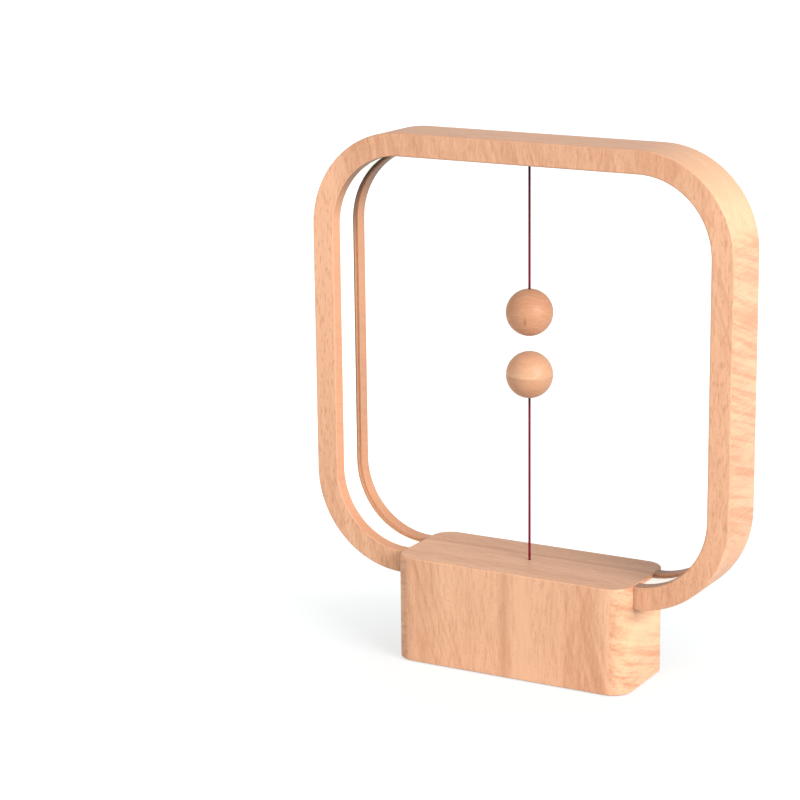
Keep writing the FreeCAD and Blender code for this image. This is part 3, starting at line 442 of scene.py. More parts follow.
def make_floor():
    """A pale floor that shows as white and keeps the lamp's soft shadow."""
    mesh = bpy.data.meshes.new("floor")
    corners = [(x * FLOOR_REACH, y * FLOOR_REACH, 0) for x, y in ((-1, -1), (1, -1), (1, 1), (-1, 1))]
    mesh.from_pydata(corners, [], [(0, 1, 2, 3)])
    material = bpy.data.materials.new("pale_floor")
    tree = emptied_tree(material)
    place = Place(tree, add(tree, "ShaderNodeTexCoord").outputs["Object"])
    white = place.length().spread(SHADOW_FROM, SHADOW_TO, SHADOW_WHITE, OPEN_WHITE)
    glow = add(tree, "ShaderNodeEmission", {"Color": GLOW, "Strength": white})
    faint = add(tree, "ShaderNodeBsdfDiffuse", {"Color": SHADE})
    shown = add(tree, "ShaderNodeAddShader", {0: glow.outputs[0], 1: faint.outputs[0]})
    plain = add(tree, "ShaderNodeBsdfDiffuse", {"Color": BOUNCE})
    mixed = add(tree, "ShaderNodeMixShader", {0: seen(tree), 1: plain.outputs[0], 2: shown.outputs[0]})
    # from underneath the floor isn't there, so that the lamp's cover and feet can be looked at
    under = add(tree, "ShaderNodeNewGeometry").outputs["Backfacing"]
    clear = add(tree, "ShaderNodeBsdfTransparent")
    one_sided = add(tree, "ShaderNodeMixShader", {0: under, 1: mixed.outputs[0], 2: clear.outputs[0]})
    add(tree, "ShaderNodeOutputMaterial", {"Surface": one_sided.outputs[0]})
    mesh.materials.append(material)
    placed("floor", mesh)


def make_background():
    world = bpy.data.worlds.new("room")
    bpy.context.scene.world = world
    tree = emptied_tree(world)
    back = add(tree, "ShaderNodeBackground", {"Color": (1, 1, 1, 1), "Strength": seen(tree, ROOM_LEVEL)})
    add(tree, "ShaderNodeOutputWorld", {"Surface": back.outputs[0]})


def soft_light(name, azimuth, elevation, distance, size, share):
    """A square light aimed at the lamp. Share is how much of a facing surface's own colour it brings out."""
    data = bpy.data.lights.new(name, "AREA")
    data.size = size
    data.energy = share * math.pi ** 2 * distance ** 2
    aimed(placed(name, data), azimuth, elevation, distance)


make_floor()
make_background()
soft_light("right_lamp", azimuth=70, elevation=20, distance=2.8, size=1.5, share=1.06)
soft_light("front_lamp", azimuth=-22, elevation=10, distance=1.8, size=1.2, share=0.29)


# --- beech ---

BEECH_PALE = srgb(245, 192, 154)
BEECH_MID = srgb(233, 176, 139)
BEECH_DARK = srgb(205, 142, 106)
BEECH_FLECK = srgb(176, 112, 80)
BEECH_BLOND = srgb(255, 222, 176)
BEECH_ROSY = srgb(255, 197, 158)
PAINTED_SHADE_GREY = srgb(150, 116, 94)
PAINTED_SHADE_BROWN = srgb(96, 66, 48)
PAINTED_SHADE_BLACK = srgb(46, 38, 32)
RIPPLE_SLANT = 0.34
TOP_RIPPLES = 0.25
END_RIPPLES = 1.0
WOOD_RELIEF = 0.06  # mm
SATIN = (0.62, 0.42)
RING_PITCH = 1.7 * MM
MARK_HALF_WIDTH = 1.0 * MM
MARK_HALF_LENGTH = 3.9 * MM
PALE_REACH = 2.2 * MM
FLUTE_PITCH = 0.8 * MM
TINY = 1e-6


def beech_figure():
    """A node group that draws beech on one face: across and along the grain, and down into the wood.

    Slant is how much of the slanted darker ripples shows there.
    """
    group = bpy.data.node_groups.new("beech_figure", "ShaderNodeTree")
    names = ("Across", "Along", "Down", "Slant")
    for name in names:
        group.interface.new_socket(name, in_out="INPUT", socket_type="NodeSocketFloat")
    group.interface.new_socket("Colour", in_out="OUTPUT", socket_type="NodeSocketColor")
    group.interface.new_socket("Height", in_out="OUTPUT", socket_type="NodeSocketFloat")
    face = group.nodes.new("NodeGroupInput").outputs
    across, along, down, slant = (Number(group, face[name]) for name in names)
    sway = point(across, along, down).noise((32, 11, 32))
    bent = across + (sway - 0.5) * (9 * MM)
    place = point(bent, along, down)
    bands = place.noise((62, 5, 40))
    ripples = point(bent + along * RIPPLE_SLANT, along, down).noise((330, 14, 160), 2, 0.55)
    streaks = place.noise((560, 60, 420), 3, 0.64)
    hairs = place.noise((1500, 150, 900))
    flecks = place.noise((2500, 620, 1500), 1.5).spread(0.58, 0.73, 0.0, 0.36)
    colour = bands.spread(0.38, 0.62).between(BEECH_PALE, BEECH_MID).layered(
        (BEECH_DARK, ripples.spread(0.44, 0.62) * slant * 0.72),
        (BEECH_DARK, streaks.spread(0.50, 0.72, 0.0, 0.48)),
        (BEECH_PALE, streaks.spread(0.47, 0.28, 0.0, 0.60)),
        (BEECH_DARK, hairs.spread(0.53, 0.74, 0.0, 0.38)),
        (BEECH_PALE, hairs.spread(0.47, 0.28, 0.0, 0.32)),
        (BEECH_FLECK, flecks))
    height = streaks * 0.4 + hairs * 0.3 - flecks * 1.2
    add(group, "NodeGroupOutput", {"Colour": colour, "Height": height})
    return group


FIGURE = beech_figure()


def face_figure(across, along, down, slant):
    inputs = {"Across": across, "Along": along, "Down": down, "Slant": slant}
    made = add(across.tree, "ShaderNodeGroup", inputs, node_tree=FIGURE).outputs
    return Colour(across.tree, made["Colour"]), Number(across.tree, made["Height"])


def wooden(finish, colour, height, warmth):
    """Wood from its figure: its tint, fine relief and uneven satin."""
    return finish.done(colour.tinted(warmth), height, WOOD_RELIEF, 0.6, height.spread(-0.3, 0.5, *SATIN))


def in_the_plank(finish, shift):
    """The axes of a point in its plank and in the lamp, and the axes of where its surface faces."""
    plank = add(finish.tree, "ShaderNodeMapping", {"Vector": finish.place, "Location": shift})
    return Place(finish.tree, plank.outputs[0]).axes(), finish.place.axes(), finish.facing.axes()


def boards(place, facing, front_slant, top_bias, end_bias, sharpness):
    """Figure and relief of a block whose faces show their own grain.

    It runs upright in front, along X on top and along Y at the ends. The biases carry the top's or the ends'
    figure further round the edges.
    """
    front, front_height = face_figure(place.x, place.z, place.y, front_slant)
    end, end_height = face_figure(place.z, place.y, place.x, END_RIPPLES)
    top, top_height = face_figure(place.y, place.x, place.z, TOP_RIPPLES)
    end_share = (abs(facing.x) * end_bias) ** sharpness
    sides = end_share + abs(facing.y) ** sharpness
    top_share = (abs(facing.z) * top_bias) ** sharpness
    end_part = end_share / (sides + TINY)
    top_part = top_share / (sides + top_share + TINY)
    colour = front.layered((end, end_part), (top, top_part))
    return colour, front_height.towards(end_height, end_part).towards(top_height, top_part)


def base_beech():
    """The base's beech: two slanted dark ripples in front, long streaks on top, painted shade on top and
    under the bars.
    """
    finish = Finish("beech_base", 0.5, specular=0.35)
    place, here, facing = in_the_plank(finish, (0.101, 0.034, 0.05))
    slanted = here.x + here.z * RIPPLE_SLANT
    ripples = slanted.near(-33 * MM, 20 * MM) + slanted.near(51 * MM, 18 * MM)
    colour, height = boards(place, facing, ripples * 0.9, top_bias=1.0, end_bias=4.0, sharpness=14.0)
    upright = abs(facing.y)
    ending = abs(facing.x) ** 3.0
    level = abs(facing.z) ** 8.0
    wander = (finish.place.noise((20, 0, 0), 1) - 0.5) * (4 * MM)
    drifted = here.y + wander
    # where the ends are painted with the shade below the bars
    shade_below_bar = here.z.spread(34 * MM, 43 * MM) * here.z.spread(47 * MM, 44 * MM)
    colour = colour.layered(
        (BEECH_DARK, here.x.near(-1 * MM, 5 * MM) * 0.55 * upright),
        (BEECH_PALE, here.x.near(9 * MM, 7 * MM) * 0.8 * upright),
        (BEECH_DARK, here.x.near(-BASE_END, 12 * MM) * 0.3 * upright),
        (BEECH_BLOND, here.z.near(30 * MM, 16 * MM) * 0.5 * ending),
        (BEECH_PALE, drifted.near(5 * MM, 2.4 * MM) * 0.7 * level),
        (BEECH_DARK, drifted.near(9 * MM, 2.8 * MM) * 0.5 * level),
        (BEECH_PALE, drifted.near(-8 * MM, 3.5 * MM) * 0.4 * level),
        # painted shade: the top a little greyer, more so towards its right end
        (PAINTED_SHADE_GREY, here.x.spread(0.0, 60 * MM, 0.10, 0.20) * level),
        # painted shade on the ends just below the bars
        (PAINTED_SHADE_GREY, shade_below_bar * here.y.near(-13 * MM, 13 * MM) * 0.7 * ending))
    return wooden(finish, colour, height, (1.05, 1.05, 1.04))


def under_outer_face(here):
    """How far a point lies from the frame's outer face, a rectangle with round corners.

    Inside the wood it is less than nothing.
    """
    over_x = abs(here.x) + (FRAME_CORNER - FRAME_HALF_WIDTH)
    over_z = abs(here.z - FRAME_MIDDLE) + (FRAME_CORNER - FRAME_HALF_HEIGHT)
    beyond = point(over_x.at_least(0.0), over_z.at_least(0.0), 0.0).length()
    return beyond + over_x.at_least(over_z).at_most(0.0) - FRAME_CORNER


def frame_beech():
    """The frame's beech, with a painted highlight on its upper right outside and painted shade within."""
    finish = Finish("beech_frame", 0.5, specular=0.35)
    place, here, facing = in_the_plank(finish, (0.013, 0.0, 0.021))
    front_slant = finish.place.noise((22, 22, 14), 1).spread(0.44, 0.60, 0.0, 0.8)
    colour, height = boards(place, facing, front_slant, top_bias=4.0, end_bias=1.0, sharpness=10.0)
    outside = under_outer_face(here)
    outer_face = outside.spread(-0.5 * MM, -0.2 * MM)
    raised = facing.z.at_least(0.0)
    # painted highlight: the outer face is painted blond where it turns up and to the right
    highlight_up_right = raised ** 0.7 * facing.x.at_least(0.0) ** 0.7
    in_front = abs(facing.y) ** 4.0
    left_bar = here.x.spread(-92 * MM, -104 * MM) * here.z.spread(90 * MM, 190 * MM, 0.3, 0.65)
    right_bar = here.x.spread(95 * MM, 105 * MM, 0.0, 0.3)
    ticks = finish.place.noise((900, 900, 190), 2, 0.55).spread(0.53, 0.68, 0.0, 0.55)
    lines = finish.place.noise((16, 430, 16), 2, 0.6).spread(0.50, 0.66, 0.0, 0.45)
    # the groove: everything between its side walls, from the inner face to its floor
    routed = (outside.spread(-1.0 * MM, -2.0 * MM)
              * abs(here.y).spread(GROOVE_WALL + 0.15 * MM, GROOVE_WALL - 0.15 * MM)
              * outside.spread(-FRAME_BAR - 0.05 * MM, -FRAME_BAR + 0.15 * MM))
    wall = routed * abs(facing.y) ** 2.0
    top_left = here.z.spread(204 * MM, 246 * MM) * here.x.spread(0.0, -40 * MM)
    # painted shade: the inner face is darker than the front, most where it faces down and at the lower right
    inner_face = outside.spread(-FRAME_BAR + 0.5 * MM, -FRAME_BAR + 0.2 * MM)
    inner_shade = inner_face * abs(facing.y).spread(0.9, 0.3)
    lower_right = here.x.spread(52 * MM, 66 * MM) * here.z.spread(74 * MM, 58 * MM)
    # painted shade along the rounded edge between the front and the inner face
    shaded_inner_edge = outside.near(-FRAME_BAR + 0.3 * MM, 0.7 * MM)
    # painted shade on the bars' front faces where they meet the base
    shade_at_base = abs(here.x).near(BASE_END, 4.5 * MM) * here.z.spread(60 * MM, 56 * MM, 0.0, 0.6)
    colour = colour.layered(
        (BEECH_BLOND, highlight_up_right * outer_face * 0.5),
        (BEECH_DARK, here.z.spread(245 * MM, 262 * MM, 0.0, 0.26)),
        (BEECH_ROSY, left_bar),
        (BEECH_ROSY, right_bar * in_front),
        (BEECH_DARK, ticks * in_front),
        (BEECH_MID, lines * outer_face * raised),
        # painted shade in the routed groove: darker all through it, more on its side walls higher up, near
        # black at the top left
        (PAINTED_SHADE_BROWN, routed * 0.42),
        (PAINTED_SHADE_BROWN, wall * 0.9 * here.z.spread(60 * MM, 120 * MM, 0.25, 1.0)),
        (PAINTED_SHADE_BLACK, routed * top_left * 0.96),
        (BEECH_DARK, inner_shade * 0.65),
        (PAINTED_SHADE_BROWN, inner_shade * facing.z.spread(-0.1, -0.7) * 0.78),
        (PAINTED_SHADE_BROWN, inner_shade * lower_right * 0.5),
        (BEECH_DARK, shaded_inner_edge * in_front * 0.45),
        (PAINTED_SHADE_GREY, shade_at_base * in_front))
    return wooden(finish, colour, height, (1.05, 1.06, 1.05))


def turned_beech(name, centre, axis, wander, calm, warmth, mark=None, pale_level=None):
    """Beech of a turned ball: growth rings lie round an axis through a centre, and streaks run along it.

    Wander bends the rings, and calm is how far the figure fades into one tone. A mark is a small dark stroke,
    and the pale level is the height of a pale streak; both are given from the centre. Sizes in millimetres.
    """
    finish = Finish(name, 0.5, specular=0.3)
    tree = finish.tree
    direction = Vector(axis).normalized()
    place = finish.place.seen_from(Vector(centre) * MM)
    along = place.along(direction)
    on_axis = add(tree, "ShaderNodeVectorMath", {0: direction, "Scale": along}, operation="SCALE")
    bend = (place.noise((110, 110, 90), 1.5) - 0.5) * (wander * MM)
    radius = place.seen_from(on_axis.outputs[0]).length() + bend
    colour, height = face_figure(radius, along, 0.0, 0.0)
    patches = place.noise((160, 160, 220)).spread(0.46, 0.62)
    fine = point(radius, along, 0.0).noise((1500, 260, 1))
    colour = colour.layered(
        (BEECH_FLECK, radius.waves(RING_PITCH).spread(0.1, 1.0, 0.0, 0.18) * patches),
        (BEECH_DARK, fine.spread(0.50, 0.72, 0.0, 0.60)),
        (BEECH_MID, calm))
    if mark:
        away = place.seen_from(Vector(mark) * MM)
        away = away.scaled(1 / MARK_HALF_WIDTH, 1 / MARK_HALF_WIDTH, 1 / MARK_HALF_LENGTH)
        colour = colour.towards(BEECH_FLECK, away.length().spread(0.15, 1.0, 0.65, 0.0))
    if pale_level:
        wisps = place.noise((120, 120, 700)).spread(0.42, 0.60)
        level = place.axes().z.near(pale_level * MM, PALE_REACH)
        colour = colour.towards(BEECH_BLOND, level * 0.4 * wisps)
    return wooden(finish, colour, height, warmth)


def dowel_beech():
    """Beech of the dowels, with pressed flutes along them."""
    finish = Finish("beech_dowel", 0.6, specular=0.3)
    place, here, _ = in_the_plank(finish, (0.2, 0.1, 0.0))
    colour, height = face_figure(place.z, place.x, place.y, 0.0)
    flute = here.z.waves(FLUTE_PITCH).spread(-1.0, 0.2)
    colour = colour.towards(BEECH_DARK, flute.spread(0.0, 1.0, 0.5, 0.0))
    return wooden(finish, colour, flute * 2.0 + height, (0.94, 0.92, 0.86))


# --- other finishes of the solids ---

DIFFUSER_GLOW = (1.0, 0.985, 0.94, 1.0)
COPPER_LINES = 2.9 * MM
TRACK_PITCH = 1.5 * MM
CAN_MIDDLE = 20.4 * MM
CAN_STRIPE = 18.2 * MM
WIRE_PITCH = 0.32 * MM
CHOKE_MIDDLE = 11.7 * MM
FIRST_LEG = (21.2 * MM, -8.2 * MM, 11.7 * MM)


def opal():
    """Milky diffuser with a faint unevenness where the lights sit behind it."""
    finish = Finish("opal_diffuser", 0.45, specular=0.4)
    finish.shader.inputs["Emission Color"].default_value = DIFFUSER_GLOW
    finish.shader.inputs["Emission Strength"].default_value = 0.45
    colour = finish.place.noise(60).stretched().between(srgb(255, 252, 240), srgb(250, 250, 244))
    return finish.done(colour, finish.place.noise(2500), 0.02, 0.3)


def even_finish(name, colour, roughness, grain, metallic=0.0, depth=0.02, variation=0.12, specular=0.5):
    """A moulded or plated finish with a little tone, a fine grain and an uneven gloss."""
    finish = Finish(name, roughness, metallic, specular)
    fine = finish.place.noise(grain)
    toned = finish.place.noise(220).stretched().between(colour, darkened(colour, 2 * variation))
    return finish.done(toned, fine, depth, 0.5, fine.stretched(roughness * 0.85, roughness * 1.15))


def turned_metal(name, colour, roughness, grain):
    """Machined metal: fine tool lines, set by the grain's three scales, under a little tarnish."""
    finish = Finish(name, roughness, metallic=1.0)
    lines = finish.place.noise(grain, 2, 0.6)
    tarnish = finish.place.noise(350, 3, 0.6).spread(0.40, 0.75, 0.0, 0.6)
    toned = tarnish.between(colour, darkened(colour, 0.35))
    return finish.done(toned, lines, 0.01, 0.6, lines.stretched(roughness * 0.7, roughness * 1.3))


def powder_coat():
    """Black baked powder: orange peel under a millimetre across, with paler specks."""
    finish = Finish("powder_coated_steel", 0.58, specular=0.4)
    peel = finish.place.noise(1300)
    specks = finish.place.noise(4200, 1).spread(0.64, 0.74, 0.0, 0.5)
    colour = finish.place.noise(40).stretched().between(srgb(52, 51, 52), srgb(38, 37, 38))
    colour = colour.towards(srgb(96, 95, 96), specks)
    return finish.done(colour, peel, 0.04, 0.8, peel.stretched(0.50, 0.68))


def tape():
    """White flexible tape with two thin copper lines along it."""
    finish = Finish("led_tape", 0.5, specular=0.4)
    weave = finish.place.noise(1800)
    line = abs(abs(finish.place.axes().y) - COPPER_LINES).inside(0.20 * MM, 0.08 * MM)
    colour = weave.stretched().between(srgb(240, 240, 236), srgb(222, 223, 220))
    return finish.done(colour.towards(srgb(196, 138, 92), line * 0.8), weave + line, 0.03, 0.5)


def circuit_board():
    """Green lacquer over copper tracks and round pads, with the bare glass board at its edges."""
    finish = Finish("circuit_board", 0.36)
    place = finish.place
    x, y, _ = place.axes()
    tracks = [axis.waves(TRACK_PITCH).spread(0.3, 0.45) * place.noise(scales, 0).spread(0.54, 0.56)
              for axis, scales in ((x, (300, 40, 0)), (y, (40, 300, 0)))]
    copper = tracks[0].at_least(tracks[1])
    cell = add(finish.tree, "ShaderNodeTexVoronoi", {"Vector": place.scaled(330, 330, 0), "Scale": 1.0})
    pad = Number(finish.tree, cell.outputs["Distance"]).inside(0.17, 0.03)
    grain = place.noise(1500)
    colour = grain.stretched().between(srgb(20, 82, 46), srgb(14, 66, 38)).layered(
        (srgb(52, 124, 68), copper),
        (srgb(206, 196, 164), pad),
        (srgb(186, 172, 112), abs(finish.facing.axes().z).inside(0.5, 0.2)))
    return finish.done(colour, copper.at_least(pad) + grain * 0.2, 0.04, 0.7)


def capacitor():
    """A dark printed sleeve with its pale stripe, and the can's scored aluminium top."""
    finish = Finish("capacitor_can", 0.35)
    x, y, _ = finish.place.axes()
    grain = finish.place.noise(1400)
    score = abs(x - CAN_MIDDLE).at_most(abs(y)).inside(0.10 * MM, 0.06 * MM)
    top = score.between(srgb(196, 198, 202), srgb(84, 86, 90))
    colour = grain.stretched().between(srgb(28, 36, 66), srgb(22, 28, 52)).layered(
        (srgb(176, 184, 200), x.inside(CAN_STRIPE, 0.1 * MM)),
        (top, finish.facing.axes().z.spread(0.5, 0.7)))
    return finish.done(colour, grain * 0.3 - score, 0.05, 0.6)


def winding():
    """A choke: enamelled copper turns between two black flanges."""
    finish = Finish("choke_winding", 0.32)
    height = finish.place.axes().z
    turn = height.waves(WIRE_PITCH).spread(-1.0, 1.0)
    flange = abs(height - CHOKE_MIDDLE).spread(1.10 * MM, 1.15 * MM)
    black = finish.place.noise(2200).between(srgb(34, 34, 36), srgb(50, 50, 52))
    colour = turn.between(srgb(112, 54, 26), srgb(198, 112, 60)).towards(black, flange)
    return finish.done(colour, turn * flange.spread(0.0, 1.0, 1.0, 0.1), 0.1, 0.8)


def insulation(name, first, second):
    """Smooth wire insulation in two colours, one on each side of the middle plane."""
    finish = Finish(name, 0.42)
    ripple = finish.place.noise((900, 900, 300))
    colour = finish.place.axes().y.spread(-0.01 * MM, 0.01 * MM).between(first, second)
    colour = colour.towards(srgb(20, 16, 16), ripple.spread(0.4, 0.8, 0.0, 0.3))
    return finish.done(colour, ripple, 0.02, 0.5, ripple.stretched(0.36, 0.5))


def driver_chip():
    """Moulded black epoxy with the pale dot that marks its first leg."""
    finish = Finish("driver_chip", 0.6, specular=0.35)
    grain = finish.place.noise(3600)
    dot = finish.place.seen_from(FIRST_LEG).length().inside(0.28 * MM, 0.06 * MM)
    colour = grain.between(srgb(30, 30, 32), srgb(54, 54, 57)).towards(srgb(150, 150, 150), dot)
    return finish.done(colour, grain - dot * 2.0, 0.03, 0.6)


def light_chip_finish():
    """A light chip: white body, tinned ends and the yellow layer in its cup, told apart by the UV map."""
    finish = Finish("led_chip", 0.35)
    part = finish.own_map().axes().x
    grain = finish.place.noise(5000)
    layer = grain.between(srgb(250, 222, 96), srgb(240, 196, 60))
    colour = grain.between(srgb(240, 240, 236), srgb(222, 222, 218)).layered(
        (layer, part.spread(0.9, 1.1)),
        (srgb(176, 176, 180), part.spread(1.9, 2.1)))
    return finish.done(colour, grain, 0.01, 0.5)


# --- small parts that repeat, placed by Geometry Nodes ---

SCREW_SIDES = 24
SHARP = math.radians(38)
THREAD_PITCH = 0.36
THREAD_ROOT = 0.80
FOOT_OUTLINE = ((1.2, 0.25), (1.7, 0.0), (3.2, 0.0), (3.8, 0.12), (4.3, 0.5), (4.5, 1.1), (4.5, 1.5),
                (4.3, 1.6), (4.3, 2.0))
CUP_SIDES = 12
BODY, LAYER, TIN = 0, 1, 2
TAPE_SIDE = 108.7 * MM
TAPE_TOP = 263.7 * MM
TAPE_BOTTOM = 49.8 * MM
TAPE_CORNER = 43.5 * MM
ARC_STEPS = 24
CHIP_PITCH = 16.6 * MM
CHIPS = 38


def small_part(body, name):
    """An object from a bmesh, its faces turned outwards."""
    bmesh.ops.recalc_face_normals(body, faces=body.faces[:])
    mesh = bpy.data.meshes.new(name)
    body.to_mesh(mesh)
    body.free()
    return placed(name, mesh)


def cross_outline(step):
    """How far a cross recess reaches at one of the steps round it, in shares of its arms' length."""
    quarter = SCREW_SIDES // 4
    from_arm = min(step % quarter, quarter - step % quarter)
    angle = FULL_TURN / SCREW_SIDES * from_arm
    if from_arm < 2:
        return 1 / math.cos(angle)
    return math.tan(FULL_TURN / SCREW_SIDES) / math.sin(angle)


def round_body(name, rings, first, last, turn, crossed=0):
    """A closed body of rings round an axis, each a radius and a height in millimetres.

    Crossed is how many of the first rings have the cross's outline. First and last are the heights of the
    middles that close the ends, and turn stands the axis where it belongs.
    """
    body = bmesh.new()
    start = body.verts.new((0, 0, first * MM))
    before = None
    for index, (radius, height) in enumerate(rings):
        ring = []
        for step, (x, y) in enumerate(circle(SCREW_SIDES)):
            reach = radius * MM * (cross_outline(step) if index < crossed else 1.0)
            ring.append(body.verts.new((reach * x, reach * y, height * MM)))
        for step in range(SCREW_SIDES):
            following = (step + 1) % SCREW_SIDES
            if before:
                body.faces.new((before[step], ring[step], ring[following], before[following]))
            else:
                body.faces.new((start, ring[step], ring[following]))
        before = ring
    end = body.verts.new((0, 0, last * MM))
    for step in range(SCREW_SIDES):
        body.faces.new((before[step], end, before[(step + 1) % SCREW_SIDES]))
    bmesh.ops.transform(body, matrix=turn, verts=body.verts)
    part = small_part(body, name)
    for face in part.data.polygons:
        face.use_smooth = True
    part.data.set_sharp_from_angle(angle=SHARP)
    return part


def threaded(shank, top, length):
    """Rings of a shank with a ridge at each turn of its thread and a short point. Millimetres."""
    rings = []
    pitch = THREAD_PITCH * shank
    root = THREAD_ROOT * shank / 2
    for index in range(int((length + top) / pitch) - 2):
        level = top - 0.5 * pitch - index * pitch
        rings += [(root, level), (shank / 2, level - 0.35 * pitch), (root, level - 0.7 * pitch)]
    rings.append((0.25 * shank / 2, -length))
    return rings


def pan_screw(name, head, head_height, shank, length, turn):
    """A cross-recess pan-head screw whose seat is at its own origin. Millimetres."""
    arm = 0.27 * head
    rings = [(0.45 * arm, 0.35 * head_height), (arm, head_height), (0.36 * head, head_height),
             (0.45 * head, 0.82 * head_height), (0.5 * head, 0.45 * head_height), (0.5 * head, 0.0),
             (0.5 * shank, 0.0)]
    rings += threaded(shank, 0.0, length)
    return round_body(name, rings, 0.30 * head_height, -length, turn, crossed=2)


def sunk_screw(name, head, shank, length, turn):
    """A cross-recess countersunk screw whose flat face is at its own origin. Millimetres."""
    cone = (head - shank) / 2
    arm = 0.28 * head
    rings = [(0.4 * arm, -0.8 * cone), (arm, 0.0), (0.49 * head, 0.0), (0.5 * head, -0.05),
             (0.5 * shank, -cone)]
    rings += threaded(shank, -cone, length)
    return round_body(name, rings, -0.9 * cone, -length, turn, crossed=2)


def foot(name, turn):
    """A moulded rubber foot that stands on a flat ring, its fixing face up."""
    return round_body(name, FOOT_OUTLINE, FOOT_OUTLINE[0][1], FOOT_OUTLINE[-1][1], turn)


def light_chip(name):
    """A light chip with a round cup; X runs along the tape and the cup looks down its own Z."""
    half_length, half_width, low, high = 1.75, 1.4, 0.05, 0.85
    rim_radius, bed_radius, bed_depth, crown_depth = 1.15, 1.0, 0.2, 0.1
    body = bmesh.new()

    def corner(x, y, z):
        return body.verts.new((x * MM, y * MM, z * MM))

    floor = []
    rim = []
    for x, y in ((1, 1), (-1, 1), (-1, -1), (1, -1)):
        floor.append(corner(x * half_length, y * half_width, -low))
        rim.append(corner(x * half_length, y * half_width, -high))
    cup = []
    bed = []
    for x, y in circle(CUP_SIDES):
        cup.append(corner(rim_radius * x, rim_radius * y, -high))
        bed.append(corner(bed_radius * x, bed_radius * y, bed_depth - high))
    middle = corner(0, 0, crown_depth - high)
    parts = [(floor, BODY)]
    for side in range(4):
        following = (side + 1) % 4
        walls = (floor[side], floor[following], rim[following], rim[side])
        parts.append((walls, TIN if side in (1, 3) else BODY))
        for step in range(3 * side, 3 * side + 3):
            parts.append(((rim[side], cup[step], cup[(step + 1) % CUP_SIDES]), BODY))
        parts.append(((rim[side], cup[(3 * side + 3) % CUP_SIDES], rim[following]), BODY))
    for step in range(CUP_SIDES):
        following = (step + 1) % CUP_SIDES
        parts.append(((cup[step], bed[step], bed[following], cup[following]), BODY))
        parts.append(((bed[step], middle, bed[following]), LAYER))
    layer = body.loops.layers.uv.new("UVMap")
    for corners, part in parts:
        for loop in body.faces.new(corners).loops:
            loop[layer].uv = (part + 0.5, 0.5)
    return small_part(body, name)


def started_tree(name, sockets):
    """A node tree with named inputs, and those inputs."""
    tree = bpy.data.node_groups.new(name, "GeometryNodeTree")
    for socket, kind in sockets:
        tree.interface.new_socket(socket, in_out="INPUT", socket_type="NodeSocket" + kind)
    tree.interface.new_socket("Pieces", in_out="OUTPUT", socket_type="NodeSocketGeometry")
    return tree, tree.nodes.new("NodeGroupInput").outputs


def ended_tree(tree, given, points, rotation):
    """Puts the small part at the points, makes the copies real and gives them their finish."""
    part = add(tree, "GeometryNodeObjectInfo", {"Object": given["Small Part"]}).outputs["Geometry"]
    inputs = {"Points": points, "Instance": part, "Rotation": rotation.outputs[0]}
    copies = add(tree, "GeometryNodeInstanceOnPoints", inputs)
    real = add(tree, "GeometryNodeRealizeInstances", {"Geometry": copies.outputs[0]})
    painted = add(tree, "GeometryNodeSetMaterial", {"Geometry": real.outputs[0], "Material": given["Finish"]})
    add(tree, "NodeGroupOutput", {"Pieces": painted.outputs[0]})
    return tree


def copies_at_places():
    """A node tree that puts a copy of a small part at each point, turned by chance about its own axis."""
    tree, given = started_tree("copies_at_places", [
        ("Places", "Geometry"), ("Small Part", "Object"), ("Own Axis", "Vector"), ("Most Turn", "Float"),
        ("Seed", "Int"), ("Finish", "Material")])
    # 2 and 3 are the random number's limits and 8 its seed
    limits = {2: 0.0, 3: given["Most Turn"], 8: given["Seed"]}
    chance = add(tree, "FunctionNodeRandomValue", limits, data_type="FLOAT").outputs[1]
    turned = {"Axis": given["Own Axis"], "Angle": chance}
    turn = add(tree, "FunctionNodeAxisAngleToRotation", turned)
    return ended_tree(tree, given, given["Places"], turn)


def copies_along_line():
    """A node tree that spaces copies evenly along a line, out to a reach each side of its middle."""
    tree, given = started_tree("copies_along_line", [
        ("Line", "Geometry"), ("Small Part", "Object"), ("Count", "Int"), ("Reach", "Float"),
        ("Finish", "Material")])
    curve = add(tree, "GeometryNodeMeshToCurve", {"Mesh": given["Line"]}).outputs[0]
    length = Number(tree, add(tree, "GeometryNodeCurveLength", {"Curve": curve}).outputs["Length"])
    middle = length * 0.5
    # 4 and 5 are where the trimmed curve starts and ends, as lengths
    ends = {"Curve": curve, 4: middle - given["Reach"], 5: middle + given["Reach"]}
    trimmed = add(tree, "GeometryNodeTrimCurve", ends, mode="LENGTH").outputs[0]
    spaced = add(tree, "GeometryNodeResampleCurve", {"Curve": trimmed, "Count": given["Count"]}).outputs[0]
    tangent = add(tree, "GeometryNodeInputTangent").outputs[0]
    turn = add(tree, "FunctionNodeAlignRotationToVector", {"Vector": tangent}, axis="X", pivot_axis="Y")
    return ended_tree(tree, given, spaced, turn)


def grown(name, points, edges, tree, part, values):
    """Runs a node tree on points or a line and keeps what it makes as a plain piece; the small part goes."""
    start = bpy.data.meshes.new(name + "_places")
    start.from_pydata(points, edges, [])
    carrier = placed(name + "_places", start)
    modifier = carrier.modifiers.new(name, "NODES")
    modifier.node_group = tree
    values["Small Part"] = part
    for item in tree.interface.items_tree:
        if item.in_out == "INPUT" and item.name in values:
            modifier[item.identifier] = values[item.name]
    mesh = plain_mesh(carrier)
    bpy.data.objects.remove(part)
    mesh.name = name
    return placed(name, mesh)


def stand_in(piece, node):
    """A piece takes the place of one solid of the lamp's own body."""
    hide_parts(node)
    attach(piece, "lamp")


def mirrored(x, y, z):
    """Four places in mirrored pairs."""
    return [(a * x, b * y, z) for a in (-1, 1) for b in (-1, 1)]


